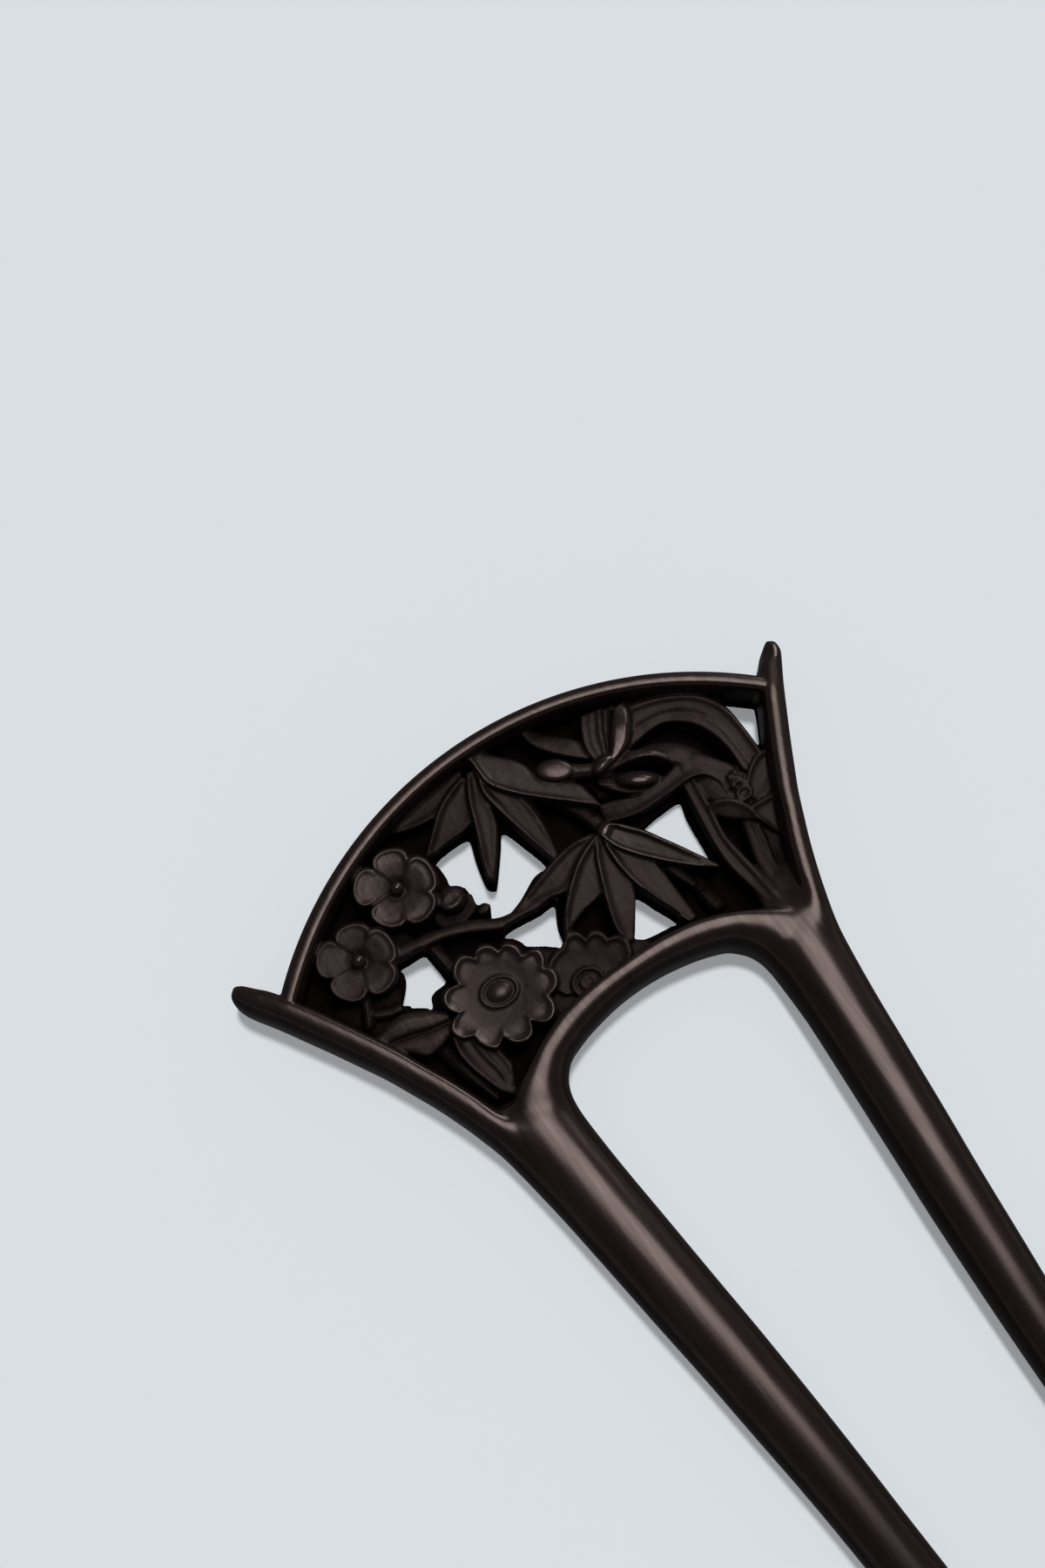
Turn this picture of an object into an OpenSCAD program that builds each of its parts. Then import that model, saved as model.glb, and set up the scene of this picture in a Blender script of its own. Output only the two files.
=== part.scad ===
// Two-prong hair fork carved from one piece of dark hardwood.
// A flared, pierced head with raised rims holds plum blossom, chrysanthemum,
// orchid and bamboo in relief, and two long prongs taper below it.
// The back is flat on Z = 0, +Y runs from the prong tips to the crest.

/* [Prongs] */
// Length from the crest of the head to the prong tips, mm
overall_length = 145; // [120:1:170]
// Thickness of a prong where it leaves the head, mm
prong_thickness = 5.0; // [4:0.1:7]
// Thickness of a prong just above its rounded tip, mm
tip_thickness = 2.4; // [1.8:0.1:3.5]
// Width of a prong just above its rounded tip, mm
tip_width = 2.7; // [2:0.1:4]

/* [Head] */
// Height of the rims above the back, mm
rim_height = 5.0; // [4.4:0.1:7]
// Height of the rims' square lower sides, mm
rim_shoulder = 3.4; // [2.5:0.1:4]
// Thickness of the ground left behind the carving, mm
ground = 1.1; // [0.8:0.1:2]
// Width of the two slanting side rims, mm
side_rim_width = 2.35; // [1.8:0.05:3]
// Width of the curved crest rim, mm
crest_rim_width = 1.95; // [1.5:0.05:2.6]

/* [Relief] */
// How far the tallest carving stands above the back, mm
relief = 4.1; // [3.2:0.1:4.6]
// Height of the leaves' edges above the back, mm
leaf_edge = 2.9; // [2:0.1:3.4]
// Depth that the chrysanthemum petals are dished, mm
dish = 0.6; // [0.2:0.1:1]

/* [Hidden] */
wood = [0.16, 0.12, 0.11];
crest_y = 51.25;
crest_r = 33.9;
tip_y = crest_y - overall_length;
lift_y = overall_length/2 - crest_y;
low = leaf_edge - 0.7;
// how far the bodies reach below the back before it is cut flat
under = 0.6;

// right half of the outer outline, prong to ear
side_out = [[14.2, 14.6], [14.86, 17.7], [15.31, 20], [15.66, 22], [16.25, 24], [16.95, 26], [17.77, 28],
  [18.7, 30], [20.22, 33], [21.97, 36], [23.75, 39], [25.45, 42], [26.0, 43.2], [26.12, 43.9]];
// the U between the prongs: inner edge and the rim's other edge, right half
u_in = [[0, 26.6], [2.4, 26.45], [4.85, 26], [6.5, 25.5], [7.61, 25], [8.58, 24], [9.05, 23],
  [9.21, 22], [9.23, 21], [9.1, 18.5], [8.93, 16], [8.51, 11]];
u_out = [[0, 28.7], [2.8, 28.65], [5.6, 28.3], [7.7, 27.7], [9.4, 26.9], [11, 26], [12.2, 24.9],
  [13, 23.4], [13.3, 21.6], [13.3, 19], [13.1, 16], [12.4, 11]];
// prong stations below the head: y, inner x, outer x
prong_rows = [[23.6, 9.6, 15.4], [21.6, 9.25, 15.52], [19.2, 9.2, 15.12], [15.8, 8.93, 14.65],
  [11, 8.51, 14.0], [6, 8.08, 13.36], [1, 7.64, 12.69], [-4, 7.28, 12.1], [-9, 6.98, 11.5],
  [-14, 6.74, 11.02]];

// profiles across a strip: place from edge to edge, share of the rise
arch = [[0, 0], [0.16, 0.7], [0.5, 1], [0.84, 0.7], [1, 0]];
keel = [[0, 0.3], [0.5, 1], [1, 0.3]];
lipped = [[0, 0.8], [0.12, 1], [0.3, 0.2], [0.7, 0.2], [0.88, 1], [1, 0.8]];

function mix(a, b, t) = a + (b - a)*t;
function flip(p) = [for (q = p) [-q[0], q[1]]];
function back(p) = [for (i = [len(p) - 1:-1:0]) p[i]];
// the unit normal to the left of a path at one of its points
function path_dir(p, i) = let (a = p[max(i - 1, 0)], b = p[min(i + 1, len(p) - 1)],
  d = b - a) d/norm(d);
function offset_path(p, w) = [for (i = [0:len(p) - 1]) let (d = path_dir(p, i))
  p[i] + w*[-d[1], d[0]]];

// six times the volume that a set of faces closes off, signed by their winding
function wound(points, faces) = [for (f = faces) for (k = [1:len(f) - 2])
  points[f[0]]*cross(points[f[k]], points[f[k + 1]])];
module closed(points, faces) {
  v = wound(points, faces)*[for (w = wound(points, faces)) 1];
  polyhedron(points = points, faces = v > 0 ? [for (f = faces) back(f)] : faces, convexity = 6);
}

// a closed body through rings of points that all have the same count
module skin(rings) {
  n = len(rings[0]);
  m = len(rings);
  points = [for (r = rings) for (p = r) p];
  sides = [for (j = [0:m - 2]) for (i = [0:n - 1]) let (a = j*n + i, b = j*n + (i + 1)%n)
    each [[a, b, b + n], [a, b + n, a + n]]];
  caps = [[for (i = [n - 1:-1:0]) i], [for (i = [0:n - 1]) (m - 1)*n + i]];
  closed(points, concat(sides, caps));
}

// a strip between two edges, flat on the back, with a profiled top
// first and last are [edge height, top height] at its two ends
module strip(left, right, first, last, profile = keel) {
  m = len(left) - 1;
  skin([for (j = [0:m]) let (h = mix(first, last, j/m))
    concat([[right[j][0], right[j][1], -under], [left[j][0], left[j][1], -under]],
      [for (p = profile) let (q = mix(left[j], right[j], p[0]))
        [q[0], q[1], mix(h[0], h[1], p[1])]])]);
}

// a closed body with a polar top: edge points round a centre, and steps of
// [share of the radius, height] from the rim to the middle
module pad(centre, edge, steps) {
  n = len(edge);
  m = len(steps);
  function at(p, s, z) = let (q = mix(centre, p, s)) [q[0], q[1], z];
  points = concat([for (p = edge) at(p, 1, -under)],
    [for (s = steps) for (p = edge) at(p, s[0], s[1])], [at(centre, 1, steps[m - 1][1])],
    [at(centre, 1, -under)]);
  rim = [for (j = [0:m - 1]) for (i = [0:n - 1]) let (a = j*n + i, b = j*n + (i + 1)%n)
    each [[b, a, a + n], [b, a + n, b + n]]];
  top = [for (i = [0:n - 1]) [m*n + (i + 1)%n, m*n + i, (m + 1)*n]];
  base = [for (i = [0:n - 1]) [i, (i + 1)%n, (m + 1)*n + 1]];
  closed(points, concat(rim, top, base));
}

// points round an oval that may be turned
function oval(c, rx, ry, turn = 0, n = 16) = [for (i = [0:n - 1]) let (a = -360*i/n,
  x = rx*cos(a), y = ry*sin(a)) [c[0] + x*cos(turn) - y*sin(turn),
  c[1] + x*sin(turn) + y*cos(turn)]];
// points round a flower edge given as [angle, radius] rows in falling angle order
function scallop(c, rows, steps = 2) = let (n = len(rows)) [for (i = [0:n - 1])
  for (k = [0:steps - 1]) let (a = rows[i], b = rows[(i + 1)%n],
    wrap = i == n - 1 ? 360 : 0, t = k/steps,
    s = a[1] > b[1] ? pow(t, 2.4) : 1 - pow(1 - t, 2.4),
    g = mix(a[0], b[0] - wrap, t), r = mix(a[1], b[1], s)) c + r*[cos(g), sin(g)]];

// low carving left standing between the pierced openings
module slab(points, z) translate([0, 0, -under]) linear_extrude(z + under) polygon(points);

/* Head */

module ground_plate() {
  inner = offset_path(side_out, 1.27);
  slab(concat([[12.6, 18.2]], [for (i = [3:11]) inner[i]],
    [for (a = [47:8.6:133]) (crest_r - 1)*[cos(a), sin(a)] + [0, 17.35]],
    [for (i = [11:-1:3]) [-inner[i][0], inner[i][1]]], [[-12.6, 18.2]],
    [for (i = [8:-1:1]) [-u_in[i][0] - 0.6, u_in[i][1] + 1]], [[0, 27.6]],
    [for (i = [1:8]) [u_in[i][0] + 0.6, u_in[i][1] + 1]]), ground);
}

module side_rim() {
  outer = side_out;
  n = len(outer) - 1;
  inner = [for (i = [0:n]) let (d = path_dir(outer, min(i, n - 2)),
    w = side_rim_width*(i > n - 4 ? [1, 0.86, 0.64, 0.3][i - n + 3] : 1))
    outer[i] + w*[-d[1], d[0]]];
  rings = [for (i = [0:n]) let (k = i > n - 3 ? [0.96, 0.9, 0.72][i - n + 2] : 1)
    concat([[inner[i][0], inner[i][1], -under], [outer[i][0], outer[i][1], -under]],
      [for (p = [[0, 0], [0.1, 0.46], [0.3, 0.86], [0.54, 1], [0.78, 0.82], [0.93, 0.42], [1, 0]])
        let (q = mix(outer[i], inner[i], p[0]))
        [q[0], q[1], k*mix(rim_shoulder, rim_height, p[1])]])];
  skin(rings);
}

module crest_rim() {
  span = [for (a = [134:-4:46]) [cos(a), sin(a)]];
  c = [0, crest_y - crest_r];
  skin([for (d = span) let (lo = c + d*(crest_r - crest_rim_width), hi = c + d*crest_r)
    concat([[lo[0], lo[1], -under], [hi[0], hi[1], -under]],
      [for (p = arch) let (q = mix(hi, lo, p[0]))
        [q[0], q[1], mix(rim_shoulder - 0.5, rim_height - 0.1, p[1])]])]);
}

module u_rim() {
  low_edge = concat(flip(back(u_in)), [for (i = [1:len(u_in) - 1]) u_in[i]]);
  top_edge = concat(flip(back(u_out)), [for (i = [1:len(u_out) - 1]) u_out[i]]);
  n = len(low_edge);
  skin([for (i = [0:n - 1]) concat([[low_edge[i][0], low_edge[i][1], -under],
    [top_edge[i][0], top_edge[i][1], -under]],
    [for (p = [[0, 0], [0.12, 0.5], [0.32, 0.88], [0.54, 1], [0.78, 0.84], [0.92, 0.46], [1, 0]])
      let (q = mix(top_edge[i], low_edge[i], p[0]), h = i < 3 || i > n - 4 ? 0.94 : 1)
      [q[0], q[1], h*mix(rim_shoulder - 0.4, rim_height, p[1])]])]);
}

module prong() {
  low_rows = [for (t = [0.2:0.2:0.9]) let (y = mix(-14, tip_y + 1.6, t),
    c = 8.88 - 2.6*t*(1.45 - 0.45*t), w = mix(4.28, tip_width, t)) [y, c - w/2, c + w/2]];
  c_tip = 6.3;
  tips = [[tip_y + 1.6, c_tip - tip_width*0.49, c_tip + tip_width*0.49],
    [tip_y + 0.7, c_tip - tip_width*0.4, c_tip + tip_width*0.4],
    [tip_y + 0.2, c_tip - tip_width*0.26, c_tip + tip_width*0.26],
    [tip_y, c_tip - tip_width*0.1, c_tip + tip_width*0.1]];
  rows = concat(prong_rows, low_rows, tips);
  full = len(rows) - 1;
  skin([for (i = [0:full]) let (r = rows[i], t = (22 - r[0])/(22 - tip_y),
    h = mix(prong_thickness, tip_thickness, max(t, 0))*
      (i == 0 ? 0.7 : i > full - 3 ? [0.84, 0.6, 0.24][i - full + 2] : 1),
    e = r[0] > 14 ? 0.32 : r[0] > 8 ? 0.5 : r[0] > 0 ? 0.66 : 0.8,
    z = i > full - 3 ? [0.5, 0.46, 0.42][i - full + 2]*tip_thickness : h/2)
    [for (a = [11.25:22.5:359]) let (c = cos(a), s = sin(a))
      [mix(r[1], r[2], 0.5 + sign(c)*pow(abs(c), s > 0 ? max(e, 0.6) : e)/2), r[0],
        z + sign(s)*pow(abs(s), s > 0 ? max(e, 0.7) : e)*h/2]]]);
}

/* Relief */

// leaves fan out from a root, each row: two edges, heights at root and tip
module bamboo_high() {
  strip([[-1.1, 48.9], [-3, 48.95], [-5.4, 48.7], [-7.9, 48.1], [-8.9, 47.6]],
    [[-1.6, 48.3], [-3.2, 47.9], [-5.2, 47.2], [-7.4, 47.1], [-8.8, 47.4]],
    [leaf_edge, relief - 0.6], [low, leaf_edge]);
  strip([[-1.3, 48.5], [-3.4, 48.0], [-5.1, 47.0], [-6.6, 45.8], [-7.9, 44.8]],
    [[-1.8, 47.9], [-2.7, 46.5], [-3.7, 44.9], [-5.6, 44.4], [-7.8, 44.3]],
    [leaf_edge + 0.2, relief - 0.3], [low + 0.2, leaf_edge + 0.2]);
  strip([[-1.2, 48.6], [-2, 47.2], [-2.85, 45.2], [-3.65, 43.3], [-4.35, 41.4], [-4.7, 40.3]],
    [[-0.8, 48.4], [-1.25, 46.8], [-1.45, 45.2], [-1.9, 43], [-3.2, 41.2], [-4.3, 39.9]],
    [leaf_edge + 0.4, relief - 0.2], [leaf_edge, leaf_edge + 0.4]);
  strip([[-0.7, 48.6], [-1, 46.6], [-0.85, 44.4], [-0.4, 42.2], [-0.05, 40.4], [0.3, 39]],
    [[0.2, 48.6], [0.6, 46.4], [1.5, 44], [1.75, 42.2], [1.5, 40.4], [1, 38.9]],
    [leaf_edge + 0.4, relief - 0.3], [leaf_edge, relief - 0.5]);
  strip([[0.7, 49.3], [2, 47.8], [3.3, 46], [4.7, 43.7], [6.1, 41.9], [6.2, 40.3]],
    [[-0.5, 49.2], [0.1, 46.4], [1.2, 44.9], [3, 43], [4.5, 41.4], [5.8, 40]],
    [leaf_edge + 0.4, relief], [leaf_edge, relief - 0.3]);
}

module bamboo_low() {
  strip([[4.2, 38.95], [1.7, 38.9], [-0.3, 38.5], [-1.9, 38], [-3.5, 37.4], [-4.3, 37.1]],
    [[3.6, 38.3], [2.0, 38.0], [0.6, 37.2], [-1, 36.3], [-2.7, 36.3], [-4.2, 36.9]],
    [leaf_edge + 0.3, relief - 0.4], [low + 0.3, leaf_edge]);
  strip([[4.15, 38.66], [2.4, 37.8], [0.8, 36.8], [-0.5, 35.8], [-1.5, 34.7], [-2.2, 33.5]],
    [[4.2, 37.6], [3.1, 36.6], [2.3, 35], [1.2, 34.1], [-0.4, 33.6], [-2, 33.2]],
    [leaf_edge + 0.3, relief - 0.1], [leaf_edge, relief - 0.5]);
  strip([[4.1, 38.26], [3.2, 36.5], [2.3, 34.6], [1.5, 32.8], [1.1, 31.2], [1.4, 30.1]],
    [[4.5, 38.31], [4, 36.2], [3.9, 34], [3.8, 32.4], [2.6, 30.8], [1.8, 29.8]],
    [leaf_edge + 0.3, relief - 0.4], [leaf_edge - 0.2, leaf_edge + 0.3]);
  strip([[4.28, 38.09], [4.2, 35.8], [4.4, 33.5], [4.9, 31.6], [5.5, 29.9], [6, 28.8]],
    [[5, 38.14], [5.1, 36], [6, 34.4], [6.6, 32.8], [6.9, 30.8], [7, 28.9]],
    [leaf_edge + 0.4, relief - 0.2], [leaf_edge - 0.2, leaf_edge + 0.2]);
  strip([[5.5, 38.9], [6.7, 37.9], [7.8, 36.5], [9, 34.5], [10.1, 32.6], [10.9, 30.9]],
    [[4.4, 38.6], [4.7, 37], [6, 34.9], [7.4, 33.4], [9, 31.9], [10.5, 30.7]],
    [leaf_edge, relief + 0.1], [leaf_edge - 0.2, leaf_edge + 0.5], lipped);
  strip([[7.5, 33.4], [8.2, 32.4], [8.8, 30.9]], [[6.8, 32.6], [7.5, 31.6], [8.3, 30.3]],
    [low, leaf_edge], [low, leaf_edge - 0.1]);
  for (p = [[8.3, 30.2, 0.55], [8.7, 29.2, 0.6], [7.9, 28.5, 0.6]])
    pad([p[0], p[1]], oval([p[0], p[1]], p[2] + 0.2, p[2], -20, 8),
      [[1, low - 0.1], [0.6, low + 0.4]]);
}

// a petal with a raised far edge; turn points from the flower's middle outward
module petal(c, rx, ry, turn, z) {
  pad(c, oval(c, rx, ry, turn, 14), [[1, z - 0.5], [0.9, z], [0.6, z - 0.2]]);
}

module blossom(c, petals, z) {
  for (p = petals) petal(c + 1.78*p[1]*[cos(p[0]), sin(p[0])], 1.4*p[1], 1.52, p[0], z);
  pad(c, oval(c, 0.45, 0.45, 0, 8), [[1, z + 0.1], [0.5, z + 0.35]]);
}

module plum() {
  slab(oval([-16.4, 40.5], 2.4, 2.4, 0, 10), relief - 1.0);
  slab(oval([-10.75, 43.6], 2.5, 2.5, 0, 10), relief - 0.9);
  blossom([-16.5, 40.5], [[76, 1.05], [3, 1], [-70, 1.03], [-142, 0.99], [146, 1]], relief - 0.2);
  blossom([-10.9, 43.65], [[75, 1.13], [0, 1.04], [-72, 1.1], [-142, 1.04], [142, 1.12]], relief);
  // bud, branch, twig and the stem under the left blossom
  pad([-7.9, 40.5], oval([-7.9, 40.5], 1.15, 1.05, 0, 10),
    [[1, leaf_edge], [0.7, relief - 0.3]]);
  slab(oval([-8.1, 40.2], 1.6, 1.5, 0, 10), low);
  strip([[-14.6, 39.5], [-13.2, 39.5], [-11.4, 39.3], [-9.9, 39.1], [-8.4, 38.7], [-7.1, 38.3],
      [-6.2, 37.5], [-4.6, 36.9], [-1.2, 36.5]],
    [[-14.3, 38.6], [-13.3, 38.6], [-11.5, 38.4], [-10.1, 38.1], [-8.8, 37.7], [-7.7, 37.1],
      [-6.4, 36.5], [-4.9, 35.9], [-1.0, 35.6]],
    [low + 0.2, relief - 0.4], [low, leaf_edge], arch);
  pad([-6.5, 38.5], oval([-6.5, 38.5], 0.7, 0.55, 20, 8), [[1, low], [0.6, leaf_edge + 0.1]]);
  strip([[-12, 39], [-11.8, 37.6], [-11.6, 35.4]], [[-10.6, 39], [-10.6, 37.6], [-10.5, 35.4]],
    [low, leaf_edge], [low, leaf_edge - 0.2], arch);
  strip([[-18.6, 38.4], [-18.6, 37.2], [-19.2, 35.6]], [[-17.2, 38.2], [-17.3, 37.1], [-17.8, 35.4]],
    [low, leaf_edge - 0.2], [low - 0.4, low], arch);
  slab([[-19.6, 36], [-18.3, 34.3], [-15.5, 35], [-15.5, 36.5], [-16.5, 37.6], [-18.2, 37.6]], 1.9);
  slab([[-14.9, 42.5], [-13.3, 42.5], [-12.5, 39], [-14.6, 39]], 2.2);
}

front_mum = [[172.6, 3.34], [152, 4.3], [133.7, 3.05], [105.4, 4.15], [90.9, 3.2], [76.7, 3.9],
  [57, 3.15], [46, 3.9], [23.4, 3.3], [11.6, 4.5], [-4.4, 3.85], [-17.6, 4.6], [-38, 3.7],
  [-57.7, 4.5], [-76.4, 3.0], [-94, 4.2], [-119.7, 3.2], [-129.3, 4.26], [-154.8, 3.75],
  [-172.6, 4.64]];
rear_mum = [[170, 2.4], [125, 3.5], [96, 3.3], [78, 4.0], [62.6, 3.1], [49, 3.85], [33, 3.4],
  [17, 4.2], [4, 3.9], [-12, 1.5], [-40, 1.1], [-90, 0.9], [-140, 1.1], [-175, 1.6]];

module mums() {
  z = relief + 0.1;
  // the rear flower, half under the U rim
  pad([-2.7, 29.1], scallop([-2.7, 29.1], rear_mum, 3),
    [[1, leaf_edge], [0.93, relief - 0.45], [0.5, relief - 1.0]]);
  pad([-3.04, 29.13], oval([-3.04, 29.13], 1.4, 1.15, 11, 12),
    [[1, relief - 1], [0.85, relief - 0.7], [0.6, relief - 1]]);
  pad([-9, 32.4], scallop([-9, 32.4], front_mum, 4), [[1, leaf_edge + 0.4], [0.96, z],
    [0.88, z - 0.1], [0.75, z - dish]]);
  // its oval middle: groove, ring and boss
  pad([-9, 32.45], oval([-9, 32.45], 1.62, 1.28, -8, 24), [[1, z - dish - 0.1], [0.85, z - 0.1],
    [0.68, z - dish + 0.05], [0.54, z - dish + 0.05], [0.34, z + 0.3]]);
  slab([[-6.5, 30.4], [-5.6, 33.6], [-4.2, 33.1], [-2.8, 32], [1.6, 29.9], [2.2, 28.3],
    [-7.4, 27.9]], leaf_edge - 0.5);
}

module leaves() {
  strip([[-19.2, 34.6], [-17.4, 35.15], [-15.9, 35.15], [-14.6, 34.4], [-13.2, 33.4]],
    [[-18.4, 33.4], [-17.4, 33.4], [-16.1, 33.1], [-14.7, 32.6], [-13.2, 32.6]],
    [leaf_edge, relief - 0.5], [low + 0.3, leaf_edge], arch);
  strip([[-18.4, 33.9], [-17.3, 33.6], [-16.1, 33.2], [-14.9, 32.7], [-13.2, 32.5]],
    [[-17.6, 32.4], [-16.8, 31.6], [-16, 31.2], [-14.6, 31.5], [-13.4, 31.6]],
    [leaf_edge - 0.1, relief - 0.6], [low + 0.2, leaf_edge], arch);
  strip([[-13.6, 31.6], [-14.2, 30.4], [-14.1, 28.6], [-13.7, 27], [-13.2, 25.8], [-12.7, 25.2]],
    [[-11.7, 30.8], [-11.5, 29.8], [-11.4, 28.4], [-11.4, 27.2], [-11.8, 26.2], [-12.3, 25.4]],
    [leaf_edge, relief - 0.6], [low, leaf_edge - 0.2], lipped);
}

module orchid() {
  // high spray: sepals, lip and column
  strip([[4.4, 49], [4.4, 47.6], [5.1, 46], [6.3, 44.6], [7.4, 43.4]],
    [[5.1, 48.9], [5.9, 47.6], [7, 46.5], [7.8, 45.4], [8.2, 43.8]],
    [leaf_edge - 0.2, relief - 0.7], [leaf_edge, relief - 0.2], arch);
  strip([[3.9, 45.6], [5.2, 45.2], [6.4, 44.4], [7.9, 43.8]],
    [[3.7, 44.8], [4.4, 43.9], [5.8, 43.2], [7.6, 42.6]],
    [leaf_edge, relief - 0.2], [leaf_edge + 0.2, relief - 0.1], arch);
  strip([[7.9, 44], [8.2, 45.6], [9.2, 47.2]], [[9.2, 43.6], [10, 45.2], [11.3, 46.8]],
    [leaf_edge, relief - 0.5], [low, leaf_edge], lipped);
  strip([[8.7, 43.2], [9.9, 44.3], [11, 45.6], [12.2, 46.6]],
    [[9.4, 42.7], [11, 43.5], [12.2, 45], [13, 46.2]],
    [leaf_edge + 0.2, relief - 0.1], [leaf_edge, relief - 0.4], arch);
  pad([8.2, 43], oval([8.2, 43], 0.95, 0.8, 0, 12), [[1, leaf_edge], [0.6, relief]]);
  // arching leaf and the curled one under it
  strip([[10.4, 44.2], [12.4, 45], [14.7, 45], [16.6, 44.3], [18, 43.2], [19, 41.6], [19.45, 39.4],
      [19.5, 37], [19.3, 35.8]],
    [[9.7, 42.9], [12.2, 43.0], [14, 42.8], [15.4, 42], [16.5, 41], [17.3, 39.4], [17.4, 37.8],
      [17.2, 36.4], [16.8, 35.4]],
    [leaf_edge, relief - 0.6], [leaf_edge, relief - 0.4], arch);
  strip([[7.4, 42.4], [9.6, 42.5], [11.6, 42.4], [13.2, 41.4], [13.8, 39.9], [14, 38.6]],
    [[7.8, 41.9], [9.8, 41.8], [11.6, 41.3], [12.6, 40.4], [13, 39.4], [13, 38.4]],
    [leaf_edge, relief - 0.5], [leaf_edge, relief - 0.6], arch);
  strip([[7.6, 42.2], [9.2, 41.6], [10.8, 41.0], [12.4, 39.8]],
    [[8, 40.9], [9, 39.9], [10.4, 39.3], [12.2, 39.1]],
    [leaf_edge - 0.2, relief - 0.5], [low, leaf_edge + 0.2], arch);
  strip([[5.3, 40.2], [8, 39.9], [10, 39.4], [12, 39.4], [14, 39.9], [15.6, 38.6], [17, 36.6]],
    [[5.6, 38.5], [7.2, 38.1], [9.2, 37.8], [11.6, 37.8], [13.9, 37.8], [14.9, 36.7], [15.6, 35.4]],
    [leaf_edge, relief - 0.5], [leaf_edge, relief - 0.4], arch);
  slab([[3.4, 43.4], [6.27, 41.83], [6.37, 40.17], [8.2, 40.5], [8.6, 43.2], [5, 44.6]], low);
  slab([[3.7, 42.4], [4.9, 41.2], [6.13, 40.23], [6.6, 38.4], [4.4, 38.2], [3.8, 39]], low + 0.2);
  // low flower in the corner
  strip([[16.9, 34.8], [17.6, 35.8], [18.7, 36.7], [20.2, 36.9]],
    [[17.1, 33.2], [18.3, 33.4], [19.4, 34.5], [20.2, 35.6]],
    [leaf_edge, relief - 0.3], [leaf_edge, relief - 0.5], lipped);
  strip([[16.6, 34.5], [15.4, 35.3], [14.2, 37.2]], [[15.9, 32.6], [14.2, 32.7], [13.1, 34.6]],
    [leaf_edge, relief - 0.4], [low, leaf_edge], keel);
  strip([[15.6, 33], [15.7, 31.8], [16.1, 30.3]], [[18.6, 33.3], [17.8, 32], [16.6, 30]],
    [leaf_edge, relief - 0.7], [low, leaf_edge - 0.2], keel);
  for (p = [[15.8, 36.1, 0.55], [16.7, 36.2, 0.6], [16.1, 35.4, 0.5], [16.1, 34.3, 0.8]])
    pad([p[0], p[1]], oval([p[0], p[1]], p[2], p[2], 0, 6),
      [[1, leaf_edge + 0.2], [0.5, relief - 0.2]]);
  // upright blades
  strip([[12.1, 37.9], [11.5, 35.6], [11.2, 33], [11.1, 30.8], [11.6, 28.2], [12, 26.2]],
    [[13.9, 37.9], [13.4, 35.4], [13.1, 33], [13, 30.8], [13.1, 28.4], [13.1, 26]],
    [leaf_edge - 0.3, relief - 0.6], [leaf_edge - 0.2, relief - 0.8]);
  strip([[14.4, 32.8], [13.8, 30.8], [13.4, 28.4], [13.6, 26.4], [13.9, 25]],
    [[15.6, 32.4], [15.4, 30.2], [15, 28], [14.8, 26.4], [14.5, 25]],
    [leaf_edge - 0.3, relief - 0.7], [low, leaf_edge - 0.2]);
  strip([[15.5, 30.6], [15.2, 29], [14.7, 27], [14.6, 25.4]],
    [[17, 30.2], [16.4, 28.6], [15.7, 27], [15, 25.4]], [low, leaf_edge], [low - 0.3, low]);
}

module relief_carving() {
  bamboo_high();
  bamboo_low();
  plum();
  mums();
  leaves();
  orchid();
}

// six openings pierced right through, between the stems and leaves
pierced = [
  [[-7.3, 42.6], [-7.4, 41.8], [-6.95, 41.35], [-6.6, 40.9], [-6.55, 40.1], [-6.7, 38.9],
    [-6.1, 38.5], [-6, 38.1], [-6.4, 37.6], [-6.1, 37.25], [-4.9, 37.1], [-3.5, 37.5],
    [-1.55, 38.4], [-0.2, 38.6], [0.12, 39.1], [0, 40], [-0.35, 41.2], [-0.8, 42.8], [-1.2, 43.4],
    [-1.6, 43], [-2.1, 42.3], [-4.1, 39.9], [-4.45, 39.85], [-4.8, 40.4], [-4.3, 42.6],
    [-3.75, 44.2], [-4, 44.6], [-5.8, 44.6], [-6.9, 44.4], [-7.25, 44]],
  [[-14.25, 38.62], [-13.6, 38.8], [-11.75, 38.7], [-11.55, 38], [-11.4, 36.3], [-11.5, 35.7],
    [-12.1, 35.35], [-13.4, 35.15], [-14, 34.4], [-14.95, 34.95], [-15.6, 35.4], [-15.8, 35.9],
    [-15.35, 36.5], [-14.75, 37.1], [-14.4, 37.8]],
  [[-6.1, 35.75], [-5.8, 36.3], [-4.4, 36.3], [-2.7, 36.1], [-1.35, 36.15], [-1.25, 35.9],
    [-1.9, 34.7], [-2.2, 33.9], [-2.4, 33.1], [-2.9, 32.2], [-3.15, 32.55], [-4, 33.3], [-4.9, 33.9],
    [-5.3, 34.3], [-5.5, 34.9]],
  [[3.9, 32.4], [4.25, 32.9], [4.7, 32.6], [5.15, 31.4], [5.9, 29.6], [5.8, 29.1], [5.2, 28.95],
    [3.3, 29.05], [2.1, 29.35], [1.75, 29.65], [2, 30.1], [3.6, 32]],
  [[7.8, 36.8], [8.3, 37.45], [9.9, 37.7], [11.9, 37.75], [12.05, 37.5], [11.6, 35.7],
    [11.2, 32.6], [11, 31.8], [10.6, 31.85], [8.9, 34.6]],
  [[19.55, 41], [20.3, 41.8], [21.7, 40.9], [20.3, 38.6], [19.8, 37.8], [19.6, 37.95],
    [19.5, 39.7]]];

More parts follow.
